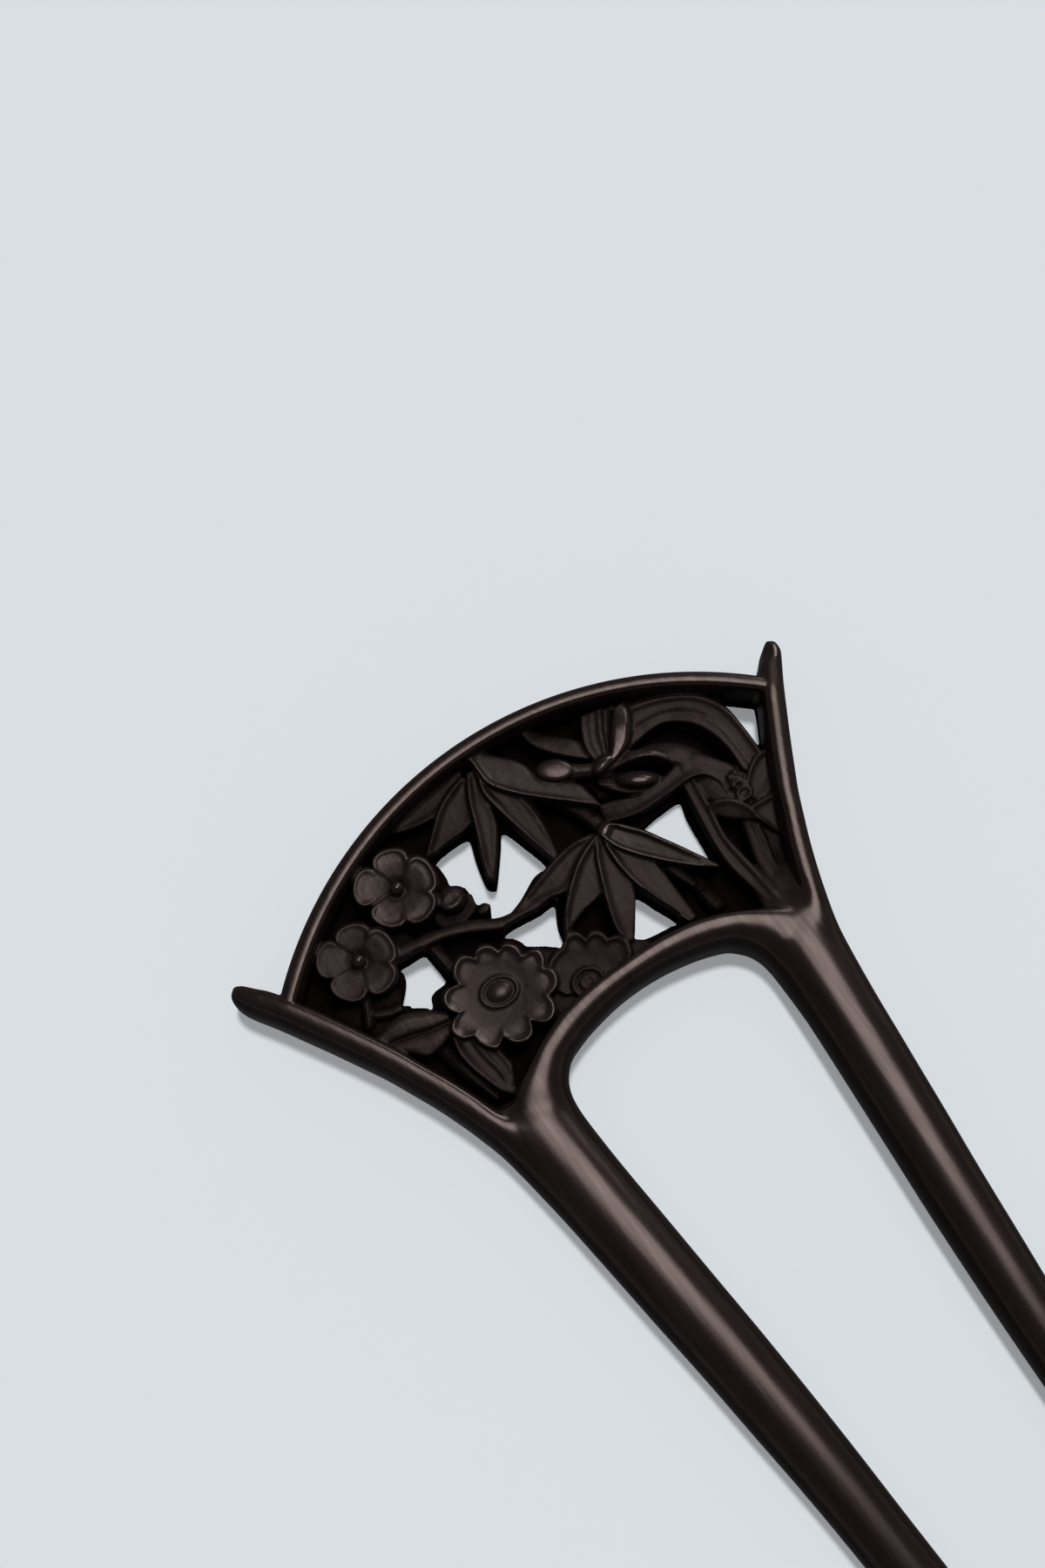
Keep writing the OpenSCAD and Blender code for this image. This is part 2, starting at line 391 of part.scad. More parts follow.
module fork() {
  color(wood) translate([0, lift_y, 0]) difference() {
    union() {
      difference() {
        union() {
          ground_plate();
          relief_carving();
        }
        for (p = pierced) translate([0, 0, -1]) linear_extrude(rim_height + 2) polygon(p);
      }
      crest_rim();
      u_rim();
      for (side = [0, 1]) mirror([side, 0, 0]) {
        side_rim();
        prong();
        // smooth shoulder where the rims run together above each prong
        for (i = [0:3]) hull() for (k = [0, 1]) let (s = i + k)
          translate([11.77 + 0.29*s, 14.1 + 2.3*s, 2]) scale([1, 0.5, 1])
            cylinder(r1 = 2.2 - 0.2*s, r2 = 1.1 - 0.1*s, h = rim_height - 2.1 - 0.2*s, $fn = 6);
      }
    }
    // the back is cut flat
    translate([-40, -10, -2]) cube([80, 80, 2]);
  }
}

fork();
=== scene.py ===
import bpy, bmesh, math
from mathutils import Matrix, Vector


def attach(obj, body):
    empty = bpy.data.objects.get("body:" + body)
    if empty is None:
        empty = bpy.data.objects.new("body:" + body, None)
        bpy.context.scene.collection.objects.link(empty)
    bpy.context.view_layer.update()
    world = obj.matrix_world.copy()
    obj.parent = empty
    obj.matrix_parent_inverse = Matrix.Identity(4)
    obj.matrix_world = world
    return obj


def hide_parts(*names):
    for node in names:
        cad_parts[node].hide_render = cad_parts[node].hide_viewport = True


# Two-prong hair fork carved from one dark piece of hardwood.
# It is drawn in millimetres from the middle of the head, then scaled and moved into the frame.
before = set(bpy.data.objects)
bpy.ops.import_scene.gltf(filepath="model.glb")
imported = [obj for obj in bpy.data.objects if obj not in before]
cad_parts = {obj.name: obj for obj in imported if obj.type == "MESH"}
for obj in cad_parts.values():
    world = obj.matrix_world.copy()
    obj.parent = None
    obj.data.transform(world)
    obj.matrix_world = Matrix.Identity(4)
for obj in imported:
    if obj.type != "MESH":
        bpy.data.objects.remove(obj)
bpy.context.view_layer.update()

mm = 0.001
headShift = 21.25  # from the middle of the head to the frame's origin, along the prongs
voxel = 0.1
sight = {"lift": 3.2, "x": 0.199, "y": 0.286}  # height at which places were taken, and the view's lean
weldGap = 2e-4


def eased(t):
    t = min(max(t, 0.0), 1.0)
    return t*t*(3 - 2*t)


def fading(d, start, width):  # 1 as far as start, then down to 0 over width
    return 1 - eased((d - start)/width)


def along(values, t):  # a height read off [place, height] pairs
    if not isinstance(values[0], (tuple, list)):
        values = [(i/(len(values) - 1), h) for i, h in enumerate(values)]
    for (a, ha), (b, hb) in zip(values, values[1:]):
        if t <= b:
            return ha + (hb - ha)*(max(t - a, 0)/max(b - a, 1e-6))
    return values[-1][1]


def smoothPath(points, count, closed=False):  # even steps along a soft curve through placed points
    pts = [Vector(p) for p in points]
    pts = [pts[-1]] + pts + pts[:2] if closed else [2*pts[0] - pts[1]] + pts + [2*pts[-1] - pts[-2]]
    fine = []
    for a, b, c, d in zip(pts, pts[1:], pts[2:], pts[3:]):
        for k in range(10):
            t = k/10
            fine.append(0.5*(2*b + (c - a)*t + (2*a - 5*b + 4*c - d)*t*t + (3*b - 3*c + d - a)*t**3))
    fine.append(pts[-2])
    reach = [0.0]
    for p, q in zip(fine, fine[1:]):
        reach.append(reach[-1] + (q - p).length)
    path, j = [], 0
    for i in range(count):
        s = reach[-1]*i/(count if closed else count - 1)
        while j < len(fine) - 2 and reach[j + 1] < s:
            j += 1
        path.append(fine[j].lerp(fine[j + 1], min((s - reach[j])/max(reach[j + 1] - reach[j], 1e-9), 1)))
    return path


def lean(x, y, z):  # the camera stands off the carving, so what is higher was seen further over
    return Vector((x - sight["x"]*(z - sight["lift"]), y - sight["y"]*(z - sight["lift"]), z))


def upright(x, y, z):
    return Vector((x, y, z))


def pointsOf(geom):
    return [v for v in geom if isinstance(v, bmesh.types.BMVert)]


def joinPart(solid, part):  # a finished part goes to the solid that it belongs to
    mesh = bpy.data.meshes.new("part")
    part.to_mesh(mesh)
    part.free()
    solid.from_mesh(mesh)
    bpy.data.meshes.remove(mesh)


def closeDown(part):  # walls straight down from the border and a flat underside
    bmesh.ops.remove_doubles(part, verts=part.verts, dist=weldGap)
    border = [e for e in part.edges if e.is_boundary]
    walls = bmesh.ops.extrude_edge_only(part, edges=border)["geom"]
    for v in pointsOf(walls):
        v.co.z = 0
    foot = [e for e in walls if isinstance(e, bmesh.types.BMEdge) and e.is_boundary]
    bmesh.ops.holes_fill(part, edges=foot)


knife = {"along": 72, "over": 30, "finerEdges": 0.09, "fullAcross": 1.2, "fullLip": 1.4, "lipRise": 0.16,
         "lipCrest": 0.2, "corner": 0.16, "finerBorder": 1.35}


def carveBand(bm, left, right, top, across=((0, 0), (1, 0)), lips=(0.0, 0.0), lipWidth=0.5, edge=0.25,
              place=lean):
    # a strip between two edges: top along it, across over it, and a thin lip along either edge
    steps = knife["along"]
    a, b = smoothPath(left, steps + 1), smoothPath(right, steps + 1)
    part = bmesh.new()
    for v in bmesh.ops.create_grid(part, x_segments=steps, y_segments=knife["over"], size=0.5)["verts"]:
        u, t = v.co.x + 0.5, v.co.y + 0.5
        t -= knife["finerEdges"]*math.sin(2*math.pi*t)
        i = min(round(u*steps), steps)
        wide = (b[i] - a[i]).length
        p = a[i].lerp(b[i], t)
        z = along(top, u) + along(across, t)*min(1, wide/knife["fullAcross"])
        for d, lip in ((t*wide, lips[0]), ((1 - t)*wide, lips[1])):
            narrow = min(1, wide/knife["fullLip"])
            z += lip*narrow*eased(d/knife["lipRise"])*fading(d, knife["lipCrest"], lipWidth)
            z -= edge*fading(d, 0, knife["corner"])
        v.co = place(p.x, p.y, z)
    closeDown(part)
    joinPart(bm, part)


def carvePad(centre, outline, rings, dip=None, cuts=40):
    # a closed outline filled towards its centre: rings are [share of the way in, height]
    n = len(outline)
    c = Vector(centre)
    part = bmesh.new()
    for v in bmesh.ops.create_grid(part, x_segments=n, y_segments=cuts, size=0.5)["verts"]:
        i = round((v.co.x + 0.5)*n) % n
        t = (v.co.y + 0.5)**knife["finerBorder"]
        p = outline[i].lerp(c, t)
        z = along(rings, t)
        if dip:
            z += dip(i/n, t, p)
        v.co = lean(p.x, p.y, z)
    closeDown(part)
    joinPart(carving, part)


def carveBall(x, y, z, radius):
    part = bmesh.new()
    bmesh.ops.create_uvsphere(part, u_segments=24, v_segments=16, radius=radius)
    bmesh.ops.translate(part, verts=part.verts, vec=lean(x, y, z))
    joinPart(carving, part)


def ovalPath(centre, rx, ry, turn=0):
    turn, count = math.radians(turn), 64
    points = []
    for i in range(count):
        x, y = rx*math.cos(-2*math.pi*i/count), ry*math.sin(-2*math.pi*i/count)
        points.append(Vector((centre[0] + x*math.cos(turn) - y*math.sin(turn),
                              centre[1] + x*math.sin(turn) + y*math.cos(turn))))
    return points


def carveOval(centre, rx, ry, rings, turn=0):
    carvePad(centre, ovalPath(centre, rx, ry, turn), rings)


def asObject(bm, name):
    bmesh.ops.recalc_face_normals(bm, faces=bm.faces)
    mesh = bpy.data.meshes.new(name)
    bm.to_mesh(mesh)
    bm.free()
    obj = bpy.data.objects.new(name, mesh)
    bpy.context.scene.collection.objects.link(obj)
    return obj


def settle(obj):  # the modifiers are worked into the mesh
    graph = bpy.context.evaluated_depsgraph_get()
    mesh = bpy.data.meshes.new_from_object(obj.evaluated_get(graph))
    obj.modifiers.clear()
    obj.data = mesh


# camera, at the photograph's place over the head
view = {"place": (-22.48, 9.93, 126.34), "tilt": 70.78, "turn": 34.82, "lens": 37.47}
phi, tilt = math.radians(view["turn"]), math.radians(view["tilt"])
right = Vector((math.cos(phi), -math.sin(phi), 0))
up = Vector((math.sin(phi)*math.sin(tilt), math.cos(phi)*math.sin(tilt), math.cos(tilt)))
back = right.cross(up)
cameraData = bpy.data.cameras.new("photoCamera")
cameraData.lens = view["lens"]
cameraData.clip_start = 0.01
camera = bpy.data.objects.new("photoCamera", cameraData)
bpy.context.scene.collection.objects.link(camera)
camera.matrix_world = Matrix((right, up, back)).transposed().to_4x4()
camera.location = Vector((view["place"][0], view["place"][1] + headShift, view["place"][2]))*mm
bpy.context.scene.camera = camera
print("camera placed")

# the carved panel, drawn flower by flower
carving = bmesh.new()

bamboo = {"lip": 0.34, "hollow": 0.12}
hollow = ((0, 0), (0.3, -bamboo["hollow"]), (0.75, -bamboo["hollow"]), (1, -0.05))
falling = ((0, 0), (0.35, -0.16), (0.8, -0.24), (1, -0.3))


def carveBamboo():  # two sprays of narrow leaves, each leaf lapped over the one before it
    lip = bamboo["lip"]
    # high spray, from the crest down
    carveBand(carving, [(-1.3, 49.3), (-3, 49.15), (-5, 48.9), (-6.7, 48.5), (-8, 48.05), (-8.95, 47.55)],
              [(-1.6, 48.2), (-2.6, 47.7), (-4.3, 46.95), (-6.1, 46.8), (-7.8, 47.15), (-8.9, 47.5)],
              [3.0, 3.0, 2.9], across=hollow, lips=(0.1, 0.16))
    carveBand(carving, [(-1.75, 48.5), (-2.9, 48.15), (-4.1, 47.65), (-4.9, 47.15), (-5.9, 46.3),
                        (-6.9, 45.4), (-7.8, 44.6)],
              [(-1.3, 48.1), (-1.6, 47.3), (-2.2, 46.1), (-2.85, 44.95), (-3.9, 44.5), (-5.9, 44.25),
               (-7.8, 44.3)], [3.2, 3.3, 3.2, 3.0], across=falling, lips=(lip, 0.1))
    carveBand(carving, [(-1.2, 48.5), (-1.95, 47.3), (-2.5, 46.2), (-2.95, 45.0), (-3.5, 43.6),
                        (-4.15, 42.0), (-4.7, 40.4)],
              [(-0.4, 48.4), (-0.7, 47.3), (-0.95, 46), (-1.1, 44.8), (-1.45, 43.6), (-2.2, 42.45),
               (-3.1, 41.2), (-4.25, 39.85)], [3.45, 3.5, 3.5, 3.3], across=falling, lips=(lip, 0.1))
    carveBand(carving, [(-0.5, 49.3), (-0.75, 47.6), (-1.05, 46.4), (-1.0, 45.4), (-0.85, 44.4), (-0.6, 43),
                        (-0.35, 41.8), (-0.1, 40.6), (0.15, 39.5), (0.35, 38.7)],
              [(0.2, 49.3), (0.5, 47.6), (0.9, 46.4), (1.3, 45.3), (1.7, 44.4), (1.9, 43.6), (1.9, 42.9),
               (1.8, 41.9), (1.55, 40.6), (1.25, 39.5), (1.0, 38.7)], [3.75, 3.75, 3.6, 3.5, 3.3],
              across=((0, 0), (0.3, -0.2), (0.68, -0.22), (0.8, -0.1), (1, -0.75)), lips=(lip, 0))
    carveBand(carving, [(-0.4, 49.4), (-0.4, 48.0), (-0.4, 47.1), (-0.15, 46.4), (0.5, 45.45), (1.4, 44.45),
                        (2.3, 43.55), (3.2, 42.7), (4.2, 41.8), (5.2, 40.85), (6.05, 40.0)],
              [(0.8, 49.5), (1.8, 48.2), (2.7, 47.2), (3.2, 46.2), (3.3, 45.4), (3.8, 44.6), (5.1, 43.4),
               (5.8, 42.6), (6.05, 41.9), (6.1, 41.1), (6.15, 40.2)], [4.0, 4.05, 4.0, 3.9, 3.75],
              across=((0, 0), (0.25, -0.22), (0.5, -0.18), (0.75, -0.25), (1, -0.6)), lips=(lip, 0.05))
    # the stem that shows below the last leaf
    carveBand(carving, [(2.3, 43.2), (2.9, 42.0), (3.7, 40.6), (4.2, 39.2), (4.3, 38.3)],
              [(4.4, 43.2), (4.9, 41.8), (5.4, 40.6), (5.6, 39.4), (5.5, 38.4)],
              [2.6, 2.7, 2.9, 3.1], across=((0, -0.5), (0.3, 0), (0.7, 0), (1, -0.4)))
    # low spray, from the node out
    carveBand(carving, [(4.25, 38.7), (2.5, 38.95), (0.8, 38.75), (-0.5, 38.4), (-1.8, 37.95),
                        (-3.2, 37.45), (-4.5, 37.0)],
              [(4.1, 37.8), (2.8, 37.5), (1.8, 37.0), (0.7, 36.3), (-0.4, 35.9), (-1.5, 36.15),
               (-2.8, 36.3), (-4.4, 36.8)], [3.5, 3.45, 3.3, 3.1], across=hollow, lips=(0.2, 0.2))
    carveBand(carving, [(4.3, 38.5), (2.9, 38.0), (1.7, 37.4), (0.5, 36.5), (-0.4, 35.7), (-1.2, 34.9),
                        (-1.9, 33.9), (-2.3, 33.2)],
              [(4.3, 37.3), (3.7, 36.7), (3.1, 35.4), (2.4, 34.4), (1.3, 34.0), (0, 33.8), (-1.2, 33.4),
               (-2.2, 33.0)],
              [3.8, 3.75, 3.6, 3.4], across=falling, lips=(lip, 0.08))
    carveBand(carving, [(4.1, 38.3), (3.2, 36.9), (2.6, 35.6), (2.1, 34.4), (1.6, 33.1), (1.2, 31.8),
                        (1.1, 30.8), (1.5, 29.8)],
              [(4.6, 38.0), (4.6, 36.8), (4.55, 35.4), (4.5, 34), (4.2, 32.7), (3.5, 31.7), (2.7, 30.7),
               (1.95, 29.8)],
              [3.8, 3.8, 3.7, 3.5, 3.2], across=falling, lips=(lip, 0.06))
    carveBand(carving, [(4.5, 38.2), (4.3, 36.8), (4.25, 35.3), (4.4, 33.9), (4.7, 32.5), (5.1, 31),
                        (5.6, 29.7), (6.1, 28.5)],
              [(5.2, 37.7), (5.7, 36.4), (6.3, 35.2), (6.9, 34), (7.05, 33), (7.0, 31.8), (7.0, 30.6),
               (7.0, 29.4), (7, 28.5)],
              [3.95, 3.9, 3.7, 3.6, 3.4], across=falling, lips=(lip, 0.06))
    carveBand(carving, [(4.5, 38.7), (4.65, 37.7), (5.0, 36.7), (5.7, 35.6), (6.6, 34.5), (7.6, 33.4),
                        (8.7, 32.3), (9.8, 31.3), (10.7, 30.65)],
              [(5.4, 38.95), (6.3, 38.3), (7.0, 37.5), (7.8, 36.5), (8.5, 35.3), (9.2, 34.1), (9.8, 33.0),
               (10.4, 31.9), (10.9, 30.9)], [(0, 4.15), (0.06, 4.2), (0.1, 4.15), (0.2, 4.1), (1, 3.8)],
              across=((0, 0), (0.25, -0.25), (0.5, -0.16), (0.75, -0.25), (1, 0)), lips=(0.34, 0.3),
              lipWidth=0.45)
    carveOval((5.15, 38.35), 0.85, 0.62, [(0, 3.6), (0.2, 4.1), (0.6, 4.3), (1, 4.3)], turn=25)
    # the leaf and the jointed stem behind it
    carveBand(carving, [(6.9, 33.4), (7.3, 31.9), (8.0, 30.4)], [(7.9, 33.6), (8.4, 32.2), (8.8, 30.6)],
              [2.9, 2.95, 2.8], across=((0, -0.3), (0.4, 0.1), (1, -0.2)))
    carveBand(carving, [(7.9, 31.2), (8.0, 30.3), (7.9, 29.2), (8.1, 27.8)],
              [(9.1, 31.2), (9.3, 30.3), (9.3, 29.2), (9.6, 27.8)],
              [(0, 2.35), (0.25, 2.45), (0.33, 2.6), (0.42, 2.4), (0.75, 2.35), (0.85, 2.5), (1, 2.3)],
              across=((0, -0.4), (0.4, 0.05), (1, -0.4)))


carveBamboo()

plum = {"pit": 0.25, "rim": 0.16, "dish": 0.22, "ball": 0.58, "ballSunk": 0.08, "middle": 0.58}


def carvePetal(centre, angle, reach, width, top):  # a broad fan with its outer edge turned up
    d = Vector((math.cos(math.radians(angle)), math.sin(math.radians(angle))))
    n = Vector((-d.y, d.x))
    fan = ((0.12, 0.2), (0.3, 0.5), (0.46, 0.78), (0.6, 0.96), (0.74, 1.0), (0.87, 0.84), (0.96, 0.52),
           (0.995, 0.2))
    edge = [centre + d*reach*r + n*width/2*w for r, w in fan]
    edge += [centre + d*reach*r - n*width/2*w for r, w in reversed(fan)]
    outline = smoothPath(edge, 96, closed=True)

    def dip(share, t, p):
        r = (p - centre).length
        outer = eased((r/reach - 0.5)/0.25)
        rim = plum["rim"]*outer*eased(t/0.08)*fading(t, 0.14, 0.22)
        return rim - plum["pit"]*fading(r, 0.45, 0.75) - plum["dish"]*fading(r, 0.8, 1.7)

    carvePad(centre + d*reach*plum["middle"], outline,
             [(0, top - 0.5), (0.04, top - 0.3), (0.09, top - 0.16), (0.2, top - 0.13), (1, top - 0.13)],
             dip=dip)


def carveBlossom(centre, petals, top):
    centre = Vector(centre)
    carveOval(centre, 2.2, 2.2, [(0, top - 1.2), (0.2, top - 0.9), (1, top - 0.85)])
    for angle, reach, width, lift in petals:
        carvePetal(centre, angle, reach, width, top + lift)
    carveBall(centre.x, centre.y, top - plum["ballSunk"], plum["ball"])


carveBlossom((-16.5, 40.55), [(70, 3.1, 2.9, 0), (0, 3.1, 3.3, 0.08), (-71, 3.3, 2.9, 0.02),
                              (-143, 3.3, 3.1, -0.04), (143, 3.4, 3.1, -0.1)], 3.95)
carveBlossom((-10.9, 43.7), [(70, 3.4, 3.0, 0), (-4, 3.3, 3.5, 0.08), (-73, 3.5, 3.1, 0.05),
                             (-140, 3.25, 3.0, 0), (143, 3.55, 3.3, -0.06)], 4.15)


def carveTwigs():
    # bud and the cup under it
    carveOval((-7.95, 40.5), 1.15, 1.1, [(0, 3.0), (0.15, 3.5), (0.5, 3.85), (1, 3.75)])
    carveBand(carving, [(-9.1, 40.9), (-8.9, 40.2), (-8.3, 39.75), (-7.5, 39.8), (-7.0, 40.2)],
              [(-8.7, 41.1), (-8.4, 40.6), (-8.0, 40.35), (-7.5, 40.4), (-7.1, 40.5)],
              [3.7, 4.0, 4.05, 3.9])
    carveOval((-8.2, 39.5), 1.9, 1.1, [(0, 2.5), (0.3, 2.55), (1, 2.35)])
    # branch
    carveBand(carving, [(-14.9, 39.6), (-13.9, 39.9), (-12.5, 39.6), (-10.5, 39.2), (-9, 38.75),
                        (-7.5, 38.2), (-6, 37.3), (-5, 37.0), (-3, 36.75), (-1.1, 36.5)],
              [(-14.6, 38.75), (-13.6, 38.75), (-12.4, 38.55), (-10.5, 38.3), (-9, 37.8), (-7.6, 37.1),
               (-6.2, 36.3), (-5, 35.95), (-3, 35.8), (-1.1, 35.5)], [3.6, 3.75, 3.7, 3.6, 3.4, 3.2],
              across=((0, -0.5), (0.25, -0.1), (0.55, 0), (1, -0.1)))
    carveOval((-6.3, 38.4), 0.75, 0.5, [(0, 2.6), (0.3, 3.0), (1, 3.1)], turn=10)
    carveBand(carving, [(-11.9, 38.8), (-11.8, 37.6), (-11.6, 35.4)],
              [(-10.7, 38.8), (-10.7, 37.6), (-10.6, 35.4)], [3.0, 2.9, 2.7],
              across=((0, -0.3), (0.4, 0), (1, -0.4)))
    carveBand(carving, [(-18.3, 37.9), (-18.7, 36.9), (-19.4, 35.8)],
              [(-17.3, 37.7), (-17.7, 36.7), (-18.3, 35.5)], [3.1, 3.05, 2.9],
              across=((0, -0.4), (0.5, 0), (1, -0.4)))
    carveBand(carving, [(-17.9, 36.8), (-16.8, 36.2), (-15.8, 36.0)],
              [(-18.1, 35.8), (-17.0, 35.3), (-15.9, 35.1)], [3.0, 3.0, 2.9],
              across=((0, -0.3), (0.5, 0), (1, -0.3)))


carveTwigs()

mum = {"front": 4.25, "rear": 3.4, "border": 0.24, "bowl": 0.55, "bowlFrom": 1.5, "bowlWide": 2.2,
       "flute": 0.08, "wider": 1.03, "notch": 2.3, "steps": 14}
frontEdge = [(172.6, 3.34), (152, 4.3), (133.7, 3.05), (105.4, 4.15), (90.9, 3.2), (76.7, 3.9), (57, 3.15),
             (46, 3.9), (23.4, 3.3), (11.6, 4.5), (-4.4, 3.85), (-17.6, 4.6), (-38, 3.7), (-57.7, 4.5),
             (-76.4, 3.0), (-94, 4.2), (-119.7, 3.2), (-129.3, 4.26), (-154.8, 3.75), (-172.6, 4.64)]
rearEdge = [(170, 2.4), (125, 3.5), (96, 3.3), (78, 4.0), (62.6, 3.1), (49, 3.85), (33, 3.4), (17, 4.2),
            (4, 3.9), (-12, 1.6), (-40, 1.1), (-90, 0.9), (-140, 1.1), (-175, 1.6)]


def lobed(centre, rows):  # round lobes with narrow notches between them
    points = []
    for i, (a, ra) in enumerate(rows):
        b, rb = rows[(i + 1) % len(rows)]
        b = b - 360 if b > a else b
        for k in range(mum["steps"]):
            t = k/mum["steps"]
            s = t**mum["notch"] if ra > rb else 1 - (1 - t)**mum["notch"]
            g, r = math.radians(a + (b - a)*t), (ra + (rb - ra)*s)*mum["wider"]
            points.append(Vector((centre[0] + r*math.cos(g), centre[1] + r*math.sin(g))))
    return points


def carveMum(centre, rows, top):
    tips = [i for i, (a, r) in enumerate(rows) if r > rows[i - 1][1] and r >= rows[(i + 1) % len(rows)][1]]

    def dip(share, t, p):  # a round bowl, with each lobe a little hollowed
        i, out = share*len(rows), (p - Vector(centre)).length
        near = min(min(abs(i - k), len(rows) - abs(i - k)) for k in tips)
        hollow = mum["flute"]*fading(near, 0, 0.75)*eased((t - 0.1)/0.05)*fading(t, 0.16, 0.28)
        return -hollow - (mum["bowl"] - mum["border"])*fading(out, mum["bowlFrom"], mum["bowlWide"])

    carvePad(centre, lobed(centre, rows),
             [(0, top - 0.5), (0.02, top - 0.16), (0.045, top), (0.075, top), (0.17, top - mum["border"]),
              (1, top - mum["border"])], dip=dip, cuts=64)


carveMum((-2.7, 29.1), rearEdge, mum["rear"])
carveMum((-9, 32.4), frontEdge, mum["front"])


def carveMumMiddles():
    z = mum["front"] - mum["bowl"]
    c = (-8.95, 32.45)
    carveOval(c, 1.7, 1.32,
              [(0, z - 0.5), (0.04, z - 0.1), (0.08, z + 0.2), (0.13, z + 0.3), (0.2, z + 0.27),
               (0.27, z + 0.06), (0.33, z - 0.04), (0.37, z), (0.43, z + 0.18), (0.53, z + 0.3),
               (0.68, z + 0.38), (0.84, z + 0.42), (1, z + 0.43)], turn=-8)
    c = (-3.0, 29.1)
    z = mum["rear"] - mum["bowl"]
    carveOval(c, 1.45, 1.2,
              [(0, z - 0.4), (0.06, z + 0.2), (0.16, z + 0.3), (0.26, z + 0.2), (0.34, z), (0.45, z),
               (0.55, z + 0.22), (0.65, z + 0.26), (0.8, z + 0.12), (1, z + 0.2)])


carveMumMiddles()


def carveLeaves():  # beside and below the chrysanthemum
    carveBand(carving, [(-19.2, 34.9), (-18.2, 34.95), (-17.2, 35.15), (-16.1, 35.2), (-14.95, 34.7),
                        (-14.05, 34.1), (-13.2, 33.4)],
              [(-18.6, 33.9), (-17.9, 33.75), (-17.3, 33.7), (-16.1, 33.4), (-15.1, 33.0), (-14.05, 32.8),
               (-13.2, 32.7)], [3.55, 3.8, 3.9, 3.9, 3.65],
              across=((0, -0.25), (0.25, 0), (0.7, -0.05), (0.85, -0.12), (1, -0.4)))
    carveBand(carving, [(-18.5, 33.9), (-17.5, 33.65), (-16.2, 33.3), (-15.1, 32.95), (-14.05, 32.75),
                        (-13.3, 32.6)],
              [(-18.0, 33.1), (-17.3, 32.4), (-16.7, 31.8), (-16.0, 31.3), (-14.5, 31.5), (-13.6, 31.9)],
              [3.55, 3.7, 3.8, 3.55], across=((0, -0.35), (0.2, -0.1), (0.5, 0), (1, -0.15)))
    carveBand(carving,
              [(-14.0, 31.6), (-14.25, 30.1), (-14.05, 28.6), (-13.6, 27.1), (-13.2, 25.9), (-12.7, 25.3)],
              [(-11.6, 31.2), (-11.5, 29.8), (-11.4, 28.4), (-11.3, 27.3), (-11.9, 26.0), (-12.3, 25.3)],
              [3.6, 3.5, 3.4, 3.2],
              across=((0, 0), (0.2, -0.15), (0.45, -0.25), (0.55, -0.05), (0.7, -0.25), (1, -0.3)),
              lips=(0.3, 0.12))
    carveBand(carving, [(-15.9, 30.9), (-15.2, 28.6), (-14.4, 26.6), (-13.9, 25.4)],
              [(-14.6, 31.3), (-14.2, 29.6), (-13.9, 27.6), (-13.5, 25.6)], [2.3, 2.7, 2.8, 2.9],
              across=((0, -0.3), (0.5, 0), (1, -0.2)))


carveLeaves()


